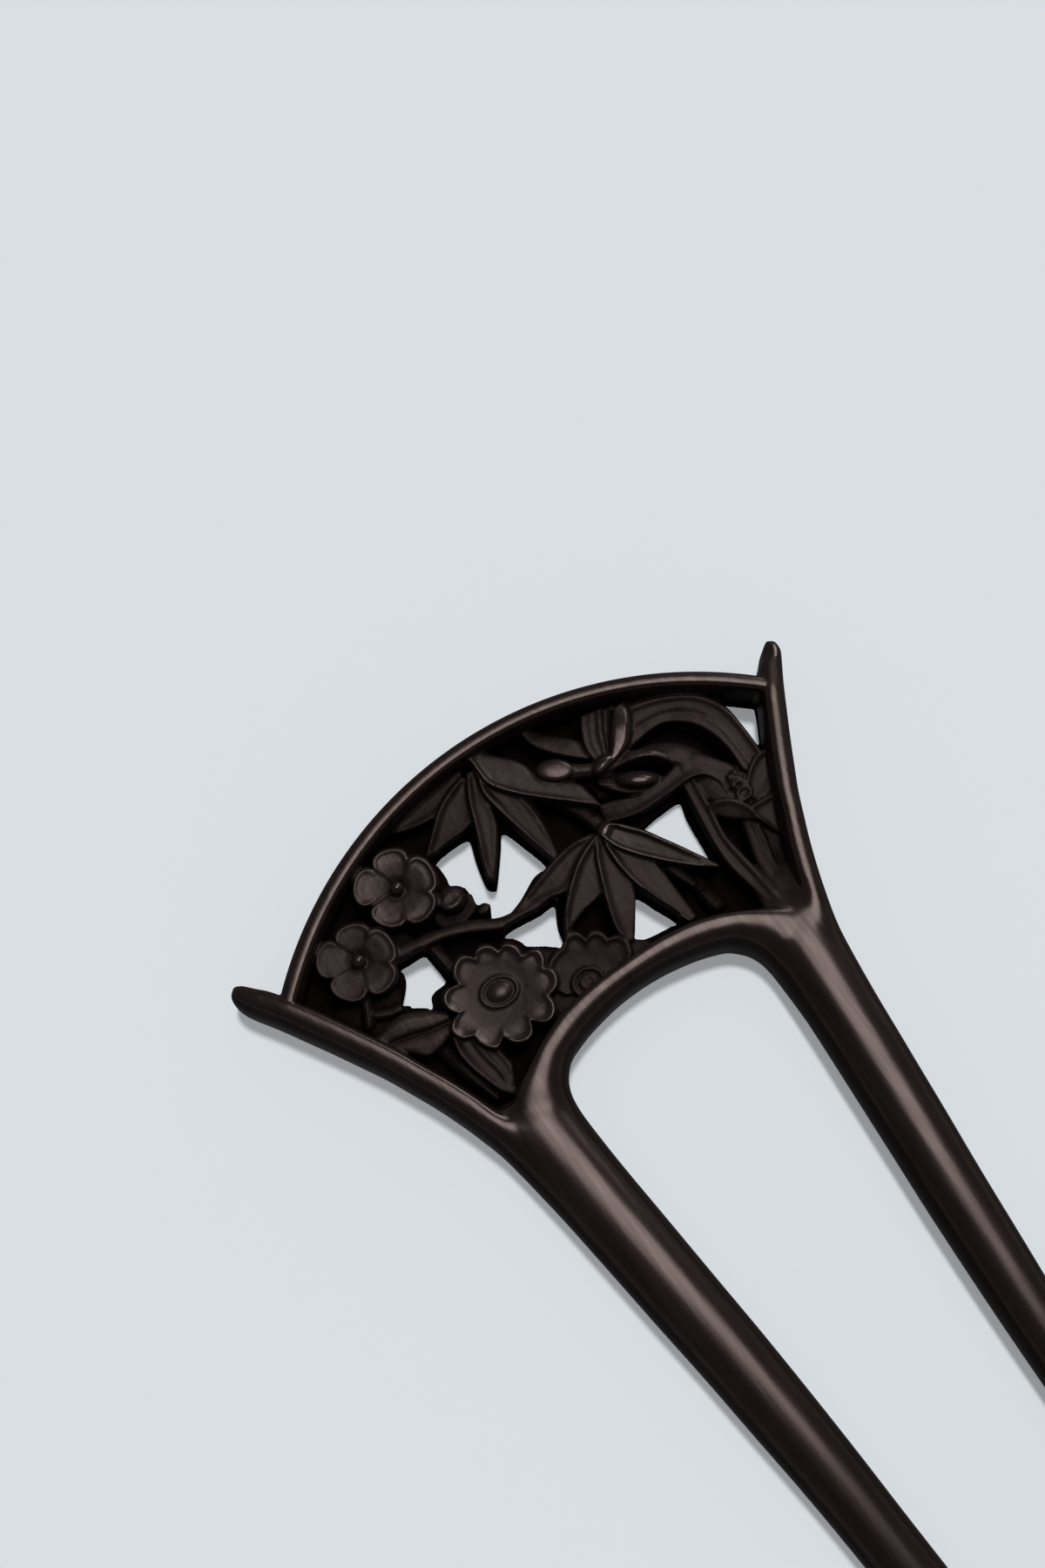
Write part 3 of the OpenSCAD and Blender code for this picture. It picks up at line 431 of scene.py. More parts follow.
def carveOrchid():
    # high flower: sepals, lip and column
    carveBand(carving,
              [(4.4, 49.2), (4.3, 47.9), (4.7, 46.9), (5.3, 46.0), (6.0, 45.2), (6.6, 44.6), (7.5, 43.8)],
              [(5.0, 49.2), (5.4, 48.3), (6.2, 47.4), (7.0, 46.6), (7.7, 45.9), (8.0, 45.3), (8.1, 44.1)],
              [3.2, 3.5, 3.6, 3.5], across=((0, -0.15), (0.15, 0), (0.45, -0.1), (1, -0.55)))
    carvePad((4.85, 44.6), ovalPath((4.8, 44.65), 1.6, 0.98, -33),
             [(0, 3.5), (0.07, 3.95), (0.16, 4.12), (0.4, 4.2), (1, 4.22)])
    carveBand(carving, [(5.2, 44.9), (6.3, 44.3), (7.4, 43.6), (8.7, 43.2)],
              [(5.0, 43.5), (6.2, 42.8), (7.5, 42.15), (8.7, 41.9)], [4.0, 3.9, 4.0, 4.1],
              across=((0, -0.3), (0.25, 0), (0.55, 0), (1, -0.45)))
    carveBand(carving, [(7.9, 43.2), (7.8, 44.4), (8.1, 45.5), (8.7, 46.6), (9.2, 47.3)],
              [(9.0, 43.2), (9.5, 44.0), (10.1, 45.2), (10.8, 46.2), (11.2, 46.9)], [3.85, 3.8, 3.65, 3.5],
              across=((0, 0), (0.25, -0.2), (0.4, -0.1), (0.6, -0.2), (0.8, 0.05), (1, -0.3)))
    carveBand(carving, [(8.9, 43.3), (9.4, 44.3), (10.0, 45.4), (10.9, 46.7)],
              [(9.6, 43.1), (10.5, 44.2), (11.3, 45.4), (12.2, 46.6)], [3.4, 3.4, 3.3, 3.2],
              across=((0, 0), (0.3, -0.1), (0.6, 0.05), (1, 0)))
    carveBand(carving, [(8.7, 42.9), (9.3, 43.5), (9.9, 44.3), (10.7, 45.3), (11.5, 46.3)],
              [(8.9, 42.4), (10.2, 42.7), (11.4, 43.3), (12.3, 44.4), (12.9, 45.5), (12.9, 46.4)],
              [4.25, 4.35, 4.3, 4.0],
              across=((0, -0.6), (0.1, -0.12), (0.2, 0), (0.7, 0), (0.86, -0.2), (1, -0.7)))
    carveOval((8.2, 42.9), 1.2, 0.6, [(0, 3.8), (0.3, 4.4), (1, 4.55)], turn=15)
    carveBand(carving, [(6.9, 42.5), (7.3, 42.1), (7.7, 41.6)], [(8.7, 42.6), (8.7, 42.2), (8.7, 41.8)],
              [3.6, 3.5, 3.4], across=((0, -0.3), (0.5, 0), (1, -0.2)))
    # arching leaf with long flat facets
    carveBand(carving, [(11.0, 45.2), (12.4, 46.0), (13.6, 45.8), (15, 45.3), (16.5, 44.6), (18.0, 43.6),
                        (19.0, 42.3), (19.5, 40.9), (19.55, 39.5), (19.55, 38), (19.45, 36.2)],
              [(9.0, 42.4), (10.3, 42.5), (11.6, 42.75), (13.0, 42.95), (14.2, 42.9), (15.2, 42.4),
               (16.1, 41.6), (16.7, 40.6), (17.1, 39.3), (17.25, 38), (17.1, 36.0)],
              [3.5, 3.5, 3.45, 3.55, 3.65, 3.6],
              across=((0, -0.3), (0.06, 0), (0.14, 0.06), (0.24, -0.18), (0.5, -0.26), (0.66, -0.04),
                      (0.74, -0.16), (0.92, -0.08), (1, -0.25)))
    # rolled leaf: its raised edge, the hollow inside and the slope down to the arching leaf
    carveBand(carving, [(8.4, 42.3), (10.0, 42.4), (11.5, 42.3), (12.8, 42.0), (14.0, 41.3), (15.0, 40.3),
                        (15.9, 39.0)],
              [(8.4, 42.0), (9.6, 41.9), (10.8, 41.6), (11.7, 41.2), (12.4, 40.5), (13.0, 39.7),
               (14.0, 38.6)], [3.5, 3.6, 3.7, 3.7, 3.3],
              across=((0, -1.0), (0.3, -0.5), (0.6, -0.15), (1, 0)))
    carveBand(carving, [(8.5, 42.5), (9.7, 42.55), (10.9, 42.5), (12.1, 41.9), (13.0, 40.9), (13.4, 39.9),
                        (13.6, 39.2)],
              [(8.5, 42.0), (9.6, 41.9), (10.7, 41.65), (11.6, 41.25), (12.3, 40.6), (12.7, 39.9),
               (12.9, 39.3)], [3.7, 3.9, 4.05, 4.1, 3.8, 3.2],
              across=((0, -0.3), (0.3, -0.1), (0.65, 0.1), (1, 0)))
    carveBand(carving, [(7.0, 42.0), (8.3, 41.8), (9.3, 41.35), (10.2, 40.85), (11.0, 40.3), (11.6, 39.6)],
              [(7.0, 41.5), (7.8, 40.4), (8.6, 39.6), (9.6, 39.05), (10.8, 38.9), (11.7, 39.1)],
              [3.3, 3.3, 3.2, 3.1],
              across=((0, -0.6), (0.3, -0.3), (0.6, 0), (0.85, -0.15), (0.93, 0.05), (1, 0)))
    carvePad((9.95, 40.2), ovalPath((9.75, 40.25), 1.85, 0.8, -32),
             [(0, 2.9), (0.15, 3.6), (0.4, 4.1), (0.65, 4.24), (1, 4.26)])
    # long band under them, its lower edge sharp
    carveBand(carving,
              [(5.9, 40.3), (7.0, 40.0), (8, 39.6), (9.5, 39.1), (11.5, 39.2), (12.8, 39.5), (14.2, 39.9)],
              [(5.7, 38.6), (7, 38.1), (8.3, 37.8), (10, 37.75), (11.9, 37.8), (13.2, 37.85), (14.2, 37.6)],
              [3.0, 3.2, 3.3, 3.4, 3.5], across=((0, -0.1), (0.4, -0.2), (0.8, -0.15), (1, 0)),
              lips=(0, 0.2))
    carveBand(carving, [(13.4, 40.2), (14.7, 39.7), (15.6, 38.8), (16.3, 37.8), (17.0, 36.8), (17.1, 36.0)],
              [(13.2, 37.85), (13.9, 37.75), (14.5, 37.3), (14.85, 36.7), (15.05, 36.0), (14.9, 35.3)],
              [3.45, 3.5, 3.45, 3.3], across=((0, -0.4), (0.35, -0.05), (0.6, -0.15), (0.85, -0.1), (1, 0)),
              lips=(0, 0.2))


carveOrchid()


def carveCorner():  # low flower in the corner and the upright blades
    # its petals, from the upper right round to the upper left
    carveBand(carving, [(16.6, 34.9), (17.3, 35.75), (18.1, 36.3), (19.0, 36.6), (20.3, 36.5)],
              [(16.5, 33.4), (17.6, 33.3), (18.6, 33.7), (19.4, 34.8), (20.4, 36.2)],
              [3.5, 3.65, 3.6, 3.4], across=((0, 0), (0.25, -0.2), (0.65, -0.3), (1, -0.15)), lips=(0.2, 0))
    carveBand(carving, [(15.9, 33.4), (17.2, 33.35), (18.4, 33.2)],
              [(16.0, 31.6), (16.4, 30.6), (16.85, 29.9)], [3.35, 3.4, 3.3],
              across=((0, 0), (0.4, -0.15), (1, -0.3)), lips=(0.22, 0))
    carveBand(carving, [(12.9, 35.2), (13.8, 35.35), (14.7, 35.0), (15.45, 34.2), (15.9, 33.2),
                        (16.0, 32.2), (16.7, 29.9)],
              [(12.9, 34.9), (13.2, 34.1), (13.9, 33.3), (14.8, 32.6), (15.5, 32.1), (15.8, 31.7),
               (16.4, 30.0)], [3.4, 3.6, 3.6, 3.5, 3.2], across=((0, 0), (0.3, -0.1), (1, -0.45)),
              lips=(0.2, 0))
    carveBand(carving, [(13.6, 37.4), (14.3, 37.3), (14.9, 36.6), (15.2, 35.6), (15.6, 34.6)],
              [(13.2, 36.6), (13.4, 35.7), (13.9, 35.1), (14.6, 34.7), (15.3, 34.4)],
              [3.2, 3.4, 3.5, 3.45], across=((0, -0.1), (0.5, -0.2), (1, -0.35)))
    stamens = ((15.9, 36.1, 0.3), (16.45, 36.25, 0.32), (16.8, 35.8, 0.3), (16.25, 35.6, 0.3),
               (15.75, 35.45, 0.28), (16.6, 35.25, 0.28))
    for x, y, radius in stamens:
        carveBall(x, y, 3.4, radius)
    carveOval((16.1, 34.5), 0.8, 0.68, [(0, 3.0), (0.12, 3.6), (0.3, 3.7), (0.55, 3.45), (1, 3.4)], turn=10)
    carveOval((16.2, 34.9), 1.4, 1.7, [(0, 2.6), (0.3, 3.1), (1, 3.1)], turn=-10)
    # blades
    carveBand(carving, [(12.45, 37.9), (11.9, 35), (11.5, 32.4), (11.4, 30.4), (11.7, 28.4), (12, 26.2),
                        (12.1, 25.2)],
              [(13.8, 37.9), (13.35, 35), (12.9, 32.6), (13.0, 31), (13.2, 28.8), (13.2, 26.5),
               (13.2, 25.2)],
              [(0, 3.0), (0.2, 3.2), (0.4, 3.3), (0.6, 3.25), (0.76, 3.35), (0.82, 3.65), (0.88, 4.0),
               (0.94, 4.4), (1, 4.75)],
              across=((0, -0.1), (0.15, 0), (0.5, -0.12), (0.75, 0.1), (0.85, 0.1), (1, -0.3)))
    carveBand(carving, [(14.6, 33), (13.9, 31), (13.35, 29.2), (13.2, 27.2), (13.4, 25)],
              [(15.9, 32.6), (15.5, 30.4), (15.0, 28.8), (14.5, 27), (14.5, 25)],
              [(0, 2.9), (0.5, 3.05), (0.65, 3.3), (0.8, 3.95), (0.9, 4.4), (1, 4.75)],
              across=((0, -0.1), (0.35, 0), (0.6, -0.14), (0.8, -0.05), (1, -0.25)))
    carveBand(carving, [(15.3, 31.2), (15.1, 29.2), (14.6, 27.2), (14.3, 25.4)],
              [(17.2, 31.0), (16.6, 28.9), (15.7, 27), (15.0, 25.4)],
              [(0, 2.7), (0.45, 2.9), (0.6, 3.25), (0.8, 3.9), (0.9, 4.3), (1, 4.6)],
              across=((0, -0.1), (0.5, 0), (1, -0.2)))


carveCorner()
print("carving drawn:", len(carving.verts), "points")

# the head's plan: the right side's outline and its rim's inner edge, and both edges of the curve
# over the prongs
sideOut = [(11.02, -14), (11.5, -9), (12.1, -4), (12.69, 1), (13.36, 6), (14.0, 11), (14.68, 16),
           (15.31, 20), (15.66, 22), (16.25, 24), (16.95, 26), (17.77, 28), (18.7, 30), (19.67, 32),
           (20.81, 34), (21.97, 36), (23.18, 38), (24.4, 40), (25.6, 41.8), (26.05, 42.8), (26.05, 43.6),
           (25.65, 44.05)]
sideIn = [(9.6, 16.6), (11.3, 20.6), (12.9, 22.7), (14.1, 24.8), (14.95, 26.9), (15.85, 29), (16.85, 31),
          (17.8, 33), (18.95, 35.1), (20.15, 37.2), (21.35, 39.2), (22.55, 41.05), (23.35, 42.2),
          (24.05, 42.95), (24.75, 43.7), (25.3, 44.1)]
uInner = [(0, 26.6), (2.4, 26.45), (4.85, 26), (6.5, 25.5), (7.61, 25), (8.58, 24), (9.05, 23), (9.21, 22),
          (9.23, 21), (9.1, 18.5), (8.93, 16), (8.51, 11)]
uOuter = [(0, 28.7), (2.8, 28.65), (5.6, 28.3), (7.7, 27.7), (9.4, 26.95), (11, 26.1), (12.3, 25.35),
          (13.4, 24.5), (14.1, 23.3), (14.4, 21.6), (14.5, 19), (14.1, 16), (13.4, 11)]
crest = {"centre": (0, 17.35), "radius": 33.3, "width": 1.5}
ground = {"depth": 1.1, "inset": 1.2, "radius": 32.9}


def mirrored(points):
    return [(-x, y) for x, y in points]


def carveGround():  # what is left behind the carving
    midX, midY = crest["centre"]
    turns = [math.radians(a) for a in range(48, 133, 4)]
    rim = [Vector((x - ground["inset"], y)) for x, y in sideOut[8:19]]
    reach = ground["radius"]
    arc = [Vector((midX + reach*math.cos(a), midY + reach*math.sin(a))) for a in turns]
    low = [Vector((x + 0.3, y + 1)) for x, y in uInner[:8]]
    edge = rim + arc + [Vector((-p.x, p.y)) for p in reversed(rim)]
    edge += [Vector((-p.x, p.y)) for p in reversed(low)] + low[1:]
    loop = [carving.verts.new((p.x, p.y, ground["depth"])) for p in edge]
    plate = carving.faces.new(loop)
    top = bmesh.ops.extrude_face_region(carving, geom=[plate])["geom"]
    bmesh.ops.translate(carving, verts=pointsOf(top), vec=(0, 0, -ground["depth"]))


carveGround()

# low ledges between the leaves, and the height of each
shelves = [
    ([(-20.8, 38.0), (-19.3, 35.0), (-18.2, 34.3), (-15.5, 35), (-15.3, 36.5), (-16.3, 37.8),
      (-18.4, 38.2)], 2.2),
    ([(-14.9, 42.5), (-13.2, 42.5), (-12.2, 39), (-14.6, 39)], 2.2),
    ([(3.4, 43.4), (6.2, 41.8), (6.4, 40.2), (8.2, 40.5), (8.6, 43.2), (5, 44.6)], 2.2),
    ([(-6.5, 30.4), (-5.6, 33.6), (-4.2, 33.1), (-2.8, 32), (1.6, 29.9), (2.2, 28.3), (-7.4, 27.9)], 2.6),
    ([(11.6, 47.2), (13.5, 46.9), (16, 45.9), (18.5, 44.3), (20.0, 42.7), (19.4, 41.5), (18, 42.5),
      (15, 44), (12.2, 44.6)], 2.6)]
for points, z in shelves:
    middle = (sum(p[0] for p in points)/len(points), sum(p[1] for p in points)/len(points))
    carvePad(middle, smoothPath(points, 40, closed=True), [(0, z - 0.3), (0.2, z), (1, z)], cuts=8)

panel = asObject(carving, "carvedPanel")
remesh = panel.modifiers.new("oneSolid", "REMESH")
remesh.mode = "VOXEL"
remesh.voxel_size = voxel*0.8
settle(panel)
print("panel made one solid:", len(panel.data.polygons), "faces")

# the six openings
pierced = [
    [(-7.3, 42.6), (-7.4, 41.8), (-6.95, 41.35), (-6.6, 40.9), (-6.55, 40.1), (-6.7, 38.9), (-6.1, 38.5),
     (-6, 38.1), (-6.4, 37.6), (-6.1, 37.25), (-4.9, 37.1), (-3.5, 37.5), (-1.55, 38.4), (-0.2, 38.6),
     (0.12, 39.1), (0, 40), (-0.35, 41.2), (-0.8, 42.8), (-1.2, 43.4), (-1.6, 43), (-2.1, 42.3),
     (-4.1, 39.9), (-4.45, 39.85), (-4.8, 40.4), (-4.3, 42.6), (-3.75, 44.2), (-4, 44.6), (-5.8, 44.6),
     (-6.9, 44.4), (-7.25, 44)],
    [(-14.25, 38.62), (-13.6, 38.7), (-12.05, 38.6), (-11.85, 38), (-11.7, 36.3), (-11.8, 35.75),
     (-12.3, 35.4), (-13.4, 35.15), (-14, 34.4), (-14.95, 34.95), (-15.6, 35.4), (-15.8, 35.9),
     (-15.35, 36.5), (-14.75, 37.1), (-14.4, 37.8)],
    [(-6.1, 35.75), (-5.8, 36.3), (-4.4, 36.3), (-2.7, 36.1), (-1.35, 36.15), (-1.25, 35.9), (-1.9, 34.7),
     (-2.2, 33.9), (-2.4, 33.1), (-2.9, 32.2), (-3.15, 32.55), (-4, 33.3), (-4.9, 33.9), (-5.3, 34.3),
     (-5.5, 34.9)],
    [(3.9, 32.4), (4.25, 32.9), (4.7, 32.6), (5.15, 31.4), (5.9, 29.6), (5.8, 29.1), (5.2, 28.95),
     (3.4, 29.15), (2.5, 29.4), (2.15, 29.75), (2.3, 30.2), (3.6, 32)],
    [(7.8, 36.6), (8.3, 37.1), (9.9, 37.35), (11.9, 37.4), (12.2, 37.2), (11.75, 35.7), (11.35, 32.6),
     (11.1, 31.7), (10.6, 31.85), (8.9, 34.6)],
    [(19.6, 40.9), (20.2, 42.0), (22.5, 41.6), (21.4, 38.9), (20.3, 37.2), (19.8, 37.6), (19.55, 39.5)]]

nearLip = {"in": 0.45, "side": Vector((-0.57, -0.82))}  # edges towards the camera stand a little further in
saw = bmesh.new()
for points in pierced:
    outline = smoothPath(points, 4*len(points), closed=True)
    turning = sum(a.x*b.y - a.y*b.x for a, b in zip(outline, outline[1:] + outline[:1]))
    loop = []
    for before, p, after in zip(outline[-1:] + outline, outline, outline[1:] + outline[:1]):
        out = Vector((after.y - before.y, before.x - after.x)).normalized()*math.copysign(1, turning)
        loop.append(saw.verts.new((*(p - out*nearLip["in"]*max(0, out.dot(nearLip["side"]))), -1)))
    face = saw.faces.new(loop)
    wall = bmesh.ops.extrude_face_region(saw, geom=[face])["geom"]
    bmesh.ops.translate(saw, verts=pointsOf(wall), vec=(0, 0, 8))
sawing = asObject(saw, "fretSaw")
cut = panel.modifiers.new("pierced", "BOOLEAN")
cut.operation = "DIFFERENCE"
cut.solver = "FAST"
cut.object = sawing
settle(panel)
bpy.data.objects.remove(sawing)
print("openings sawn:", len(panel.data.polygons), "faces")

# rims and prongs
body = bmesh.new()
body.from_mesh(panel.data)
bpy.data.objects.remove(panel)

# half of the section of a rim: share of its half width, share of its height
railSection = [(0, 0), (0.4, 0.0), (0.68, 0.025), (0.86, 0.085), (0.96, 0.18), (1, 0.31), (1, 0.5),
               (0.985, 0.66), (0.92, 0.78), (0.8, 0.88), (0.62, 0.955), (0.38, 0.99), (0, 1)]
crestSection = railSection[:7] + [(0.99, 0.72), (0.95, 0.84), (0.86, 0.92), (0.68, 0.97), (0.4, 0.995),
                                  (0, 1)]


def carveRail(outer, inner, span, steps, ridge, section=railSection):
    # a rounded bar between two edges; span is [place, underside, top] rows along it, ridge moves its crest
    ring = 56
    a, b = smoothPath(outer, steps + 1), smoothPath(inner, steps + 1)
    loop = smoothPath(section + [(-x, y) for x, y in section[-2:0:-1]], ring, closed=True)
    under, over = [(s[0], s[1]) for s in span], [(s[0], s[2]) for s in span]
    part = bmesh.new()
    for v in bmesh.ops.create_grid(part, x_segments=steps, y_segments=ring, size=0.5)["verts"]:
        i, j = round((v.co.x + 0.5)*steps), round((v.co.y + 0.5)*ring) % ring
        w, h = loop[j]
        w += ridge*(1 - w*w)*eased((h - 0.3)/0.7)
        p = a[i].lerp(b[i], 0.5 + w/2)
        z0, z1 = along(under, i/steps), along(over, i/steps)
        v.co = (p.x, p.y, z0 + (z1 - z0)*h)
    bmesh.ops.remove_doubles(part, verts=part.verts, dist=weldGap)
    bmesh.ops.holes_fill(part, edges=[e for e in part.edges if e.is_boundary])
    joinPart(body, part)


# the two sides differ a little: side, wider by, ear lower by, how far the crest of the rim moves
sideRims = {"sides": ((1, 0, 0.35, 0.12), (-1, 0.12, 0, 0.2)), "earFrom": 41.5}


def carveRims():
    c = Vector(crest["centre"])
    turns = [Vector((math.cos(math.radians(a)), math.sin(math.radians(a)))) for a in range(136, 43, -2)]
    carveRail([c + crest["radius"]*d for d in turns],
              [c + (crest["radius"] - crest["width"])*d for d in turns],
              [(0, 0, 4.9), (0.2, 0, 5), (0.8, 0, 5), (1, 0, 4.9)], ridge=0.12, section=crestSection,
              steps=240)
    low = [(x + 0.13, y - 0.05) for x, y in mirrored(uInner[:0:-1]) + uInner]
    high = mirrored(uOuter[:0:-1]) + uOuter
    carveRail(high, low,
              [(0, 2, 3), (0.12, 1.5, 3.4), (0.19, 0.6, 4.3), (0.23, 0.1, 4.85), (0.27, 0, 5), (0.73, 0, 5),
               (0.77, 0.1, 4.85), (0.81, 0.6, 4.3), (0.88, 1.5, 3.4), (1, 2, 3)], ridge=-0.45, steps=280)
    for side, widen, drop, ridge in sideRims["sides"]:
        outer = [(side*(x + widen), y - drop*eased((y - sideRims["earFrom"])/2)) for x, y in sideOut[6:]]
        inner = [(side*x, y - drop*eased((y - sideRims["earFrom"])/2)) for x, y in sideIn]
        carveRail(outer, inner,
                  [(0, 2, 2.8), (0.12, 1.2, 4.1), (0.2, 0.2, 4.8), (0.28, 0, 5), (0.85, 0, 5.0),
                   (0.93, 0.2, 4.8), (0.98, 0.5, 4.4), (1, 1.0, 3.8)], ridge=ridge, steps=220)


carveRims()

prong = {"top": 5.0, "tip": 2.4, "tipY": -93.75, "fullAt": 22, "square": 0.86, "steps": 200, "around": 64,
         "tipSteps": 12, "weld": 1e-3, "lower": 0.12, "lowerFrom": 22.6,
         "uneven": {1: (0.12, 0), -1: (-0.12, 0.12)}}
# y, inner x, outer x down the right prong
stations = [(24.8, 10.3, 15.6), (23.8, 9.8, 15.75), (22.5, 9.3, 15.75), (20, 9.21, 15.31),
            (16, 8.93, 14.68), (11, 8.51, 14.0), (6, 8.08, 13.36), (1, 7.64, 12.69), (-4, 7.28, 12.1),
            (-9, 6.98, 11.5), (-14, 6.74, 11.02), (-24, 6.2, 10.2), (-34, 5.78, 9.52), (-44, 5.45, 8.95),
            (-54, 5.2, 8.5), (-64, 5.03, 8.17), (-74, 4.93, 7.87), (-84, 4.9, 7.7), (-90, 4.92, 7.66),
            (-92.2, 4.97, 7.63)]


def carveProng(side):
    inward, outward = prong["uneven"][side]  # worked by hand, the two differ a little
    inner = smoothPath([(y, a + inward) for y, a, b in stations], prong["steps"])
    outer = smoothPath([(y, b + outward) for y, a, b in stations], prong["steps"])
    path = []
    for p, q in zip(inner, outer):
        y = (p.x + q.x)/2
        gone = (prong["fullAt"] - y)/(prong["fullAt"] - prong["tipY"])
        thick = prong["top"] + (prong["tip"] - prong["top"])*eased(gone)
        thick *= 1 - prong["lower"]*eased((y - prong["lowerFrom"])/2.4)  # where it runs into the head
        path.append((y, (p.y + q.y)/2, (q.y - p.y)/2, thick/2, thick/2))
    y0, x0, w0, h0, z0 = path[-1]
    for k in range(1, prong["tipSteps"] + 1):  # rounded tip
        s, r = math.sin(k/prong["tipSteps"]*math.pi/2), math.cos(k/prong["tipSteps"]*math.pi/2)
        path.append((y0 + (prong["tipY"] - y0)*s, x0 - 0.01*k, max(w0*r, 0.02), max(h0*r, 0.02),
                     z0 - 0.06*s))
    last = len(path) - 1
    part = bmesh.new()
    for v in bmesh.ops.create_grid(part, x_segments=last, y_segments=prong["around"], size=0.5)["verts"]:
        y, x, w, h, z = path[round((v.co.x + 0.5)*last)]
        a = 2*math.pi*(v.co.y + 0.5)
        ca, sa = (math.copysign(abs(s)**prong["square"], s) for s in (math.cos(a), math.sin(a)))
        v.co = (side*(x + w*ca), y, z + h*sa)
    bmesh.ops.remove_doubles(part, verts=part.verts, dist=prong["weld"])
    bmesh.ops.holes_fill(part, edges=[e for e in part.edges if e.is_boundary])
    joinPart(body, part)


carveProng(1)
carveProng(-1)
# the wood between the rims falls away from the prong to the carving
carveBand(body, [(10.4, 23.0), (10.8, 24.4), (11.4, 25.8), (11.8, 27.2), (12.0, 28.6)],
          [(14.6, 23.0), (14.8, 24.4), (15.2, 25.8), (15.8, 27.2), (16.3, 28.6)],
          [4.9, 4.8, 4.45, 3.9, 3.4, 2.8], edge=0.1, place=upright)
carveBand(body, [(-10.4, 22.8), (-11.2, 23.7), (-12.4, 24.5), (-13.2, 25.1)],
          [(-14.6, 22.8), (-14.6, 23.7), (-14.3, 24.5), (-13.9, 25.1)], [4.8, 4.7, 4.3, 3.5], edge=0.2,
          place=upright)
fork = asObject(body, "carvedFork")
remesh = fork.modifiers.new("oneSolid", "REMESH")
remesh.mode = "VOXEL"
remesh.voxel_size = voxel
settle(fork)
print("fork made one solid:", len(fork.data.polygons), "faces")

shoulder = {"times": 150, "low": 12, "high": 27, "inner": 8, "outer": 18, "under": 1.5}
blend = fork.vertex_groups.new(name="shoulder")
for v in fork.data.vertices:
    x, y, z = v.co
    if shoulder["low"] < y < shoulder["high"] and shoulder["inner"] < abs(x) < shoulder["outer"]:
        weight = eased((y - shoulder["low"])/4)*eased((shoulder["high"] - y)/3)
        weight *= eased((z - shoulder["under"])/1.5)
        if weight > 0.01:
            blend.add([v.index], weight, "REPLACE")
worn = fork.modifiers.new("shoulderWear", "SMOOTH")
worn.vertex_group = "shoulder"
worn.factor = 0.5
worn.iterations = shoulder["times"]
worn = fork.modifiers.new("allOverWear", "SMOOTH")
worn.factor = 0.4
worn.iterations = 1
settle(fork)
fork.vertex_groups.clear()
print("shoulders smoothed")

mostTriangles = 190000
count = len(fork.data.polygons)*2
if count > mostTriangles:
    thin = fork.modifiers.new("thinned", "DECIMATE")
    thin.ratio = mostTriangles/count
    settle(fork)
fork.data.transform(Matrix.Diagonal((mm, mm, mm, 1)) @ Matrix.Translation((0, headShift, 0)))
for face in fork.data.polygons:
    face.use_smooth = True
print("fork finished:", len(fork.data.polygons), "faces")


wood = {"dark": (0.0085, 0.0048, 0.0036), "light": (0.019, 0.0115, 0.009), "sheen": (1.0, 0.78, 0.72),
        "streaks": (900, 60, 900), "pores": 3.0, "fibres": 0.5, "poreDepth": 0.00004, "poreBump": 0.12,
        "carvedRough": 0.52, "polishedRough": 0.25, "lowShine": 0.52, "highShine": 0.85, "groundShade": 0.6,
        "marks": 1100, "markDepth": 0.0002, "markBump": 0.35,
        # heights in metres between which the finish and the painted shade change
        "carvedTop": (0.0043, 0.0038), "hollowShade": (0.0032, 0.0041), "deep": (0.0020, 0.0032),
        "foot": (0.0004, 0.0032), "footShadeAndShine": 0.15}
# where the finish changes in the plan: an arc under the crest, one over the prongs, two slanting sides
inside = {"crest": (0, 17.35, 31.9), "curve": (0, 12, 16.7), "slope": 0.508, "halfWidth": 13.75, "at": 24.8}


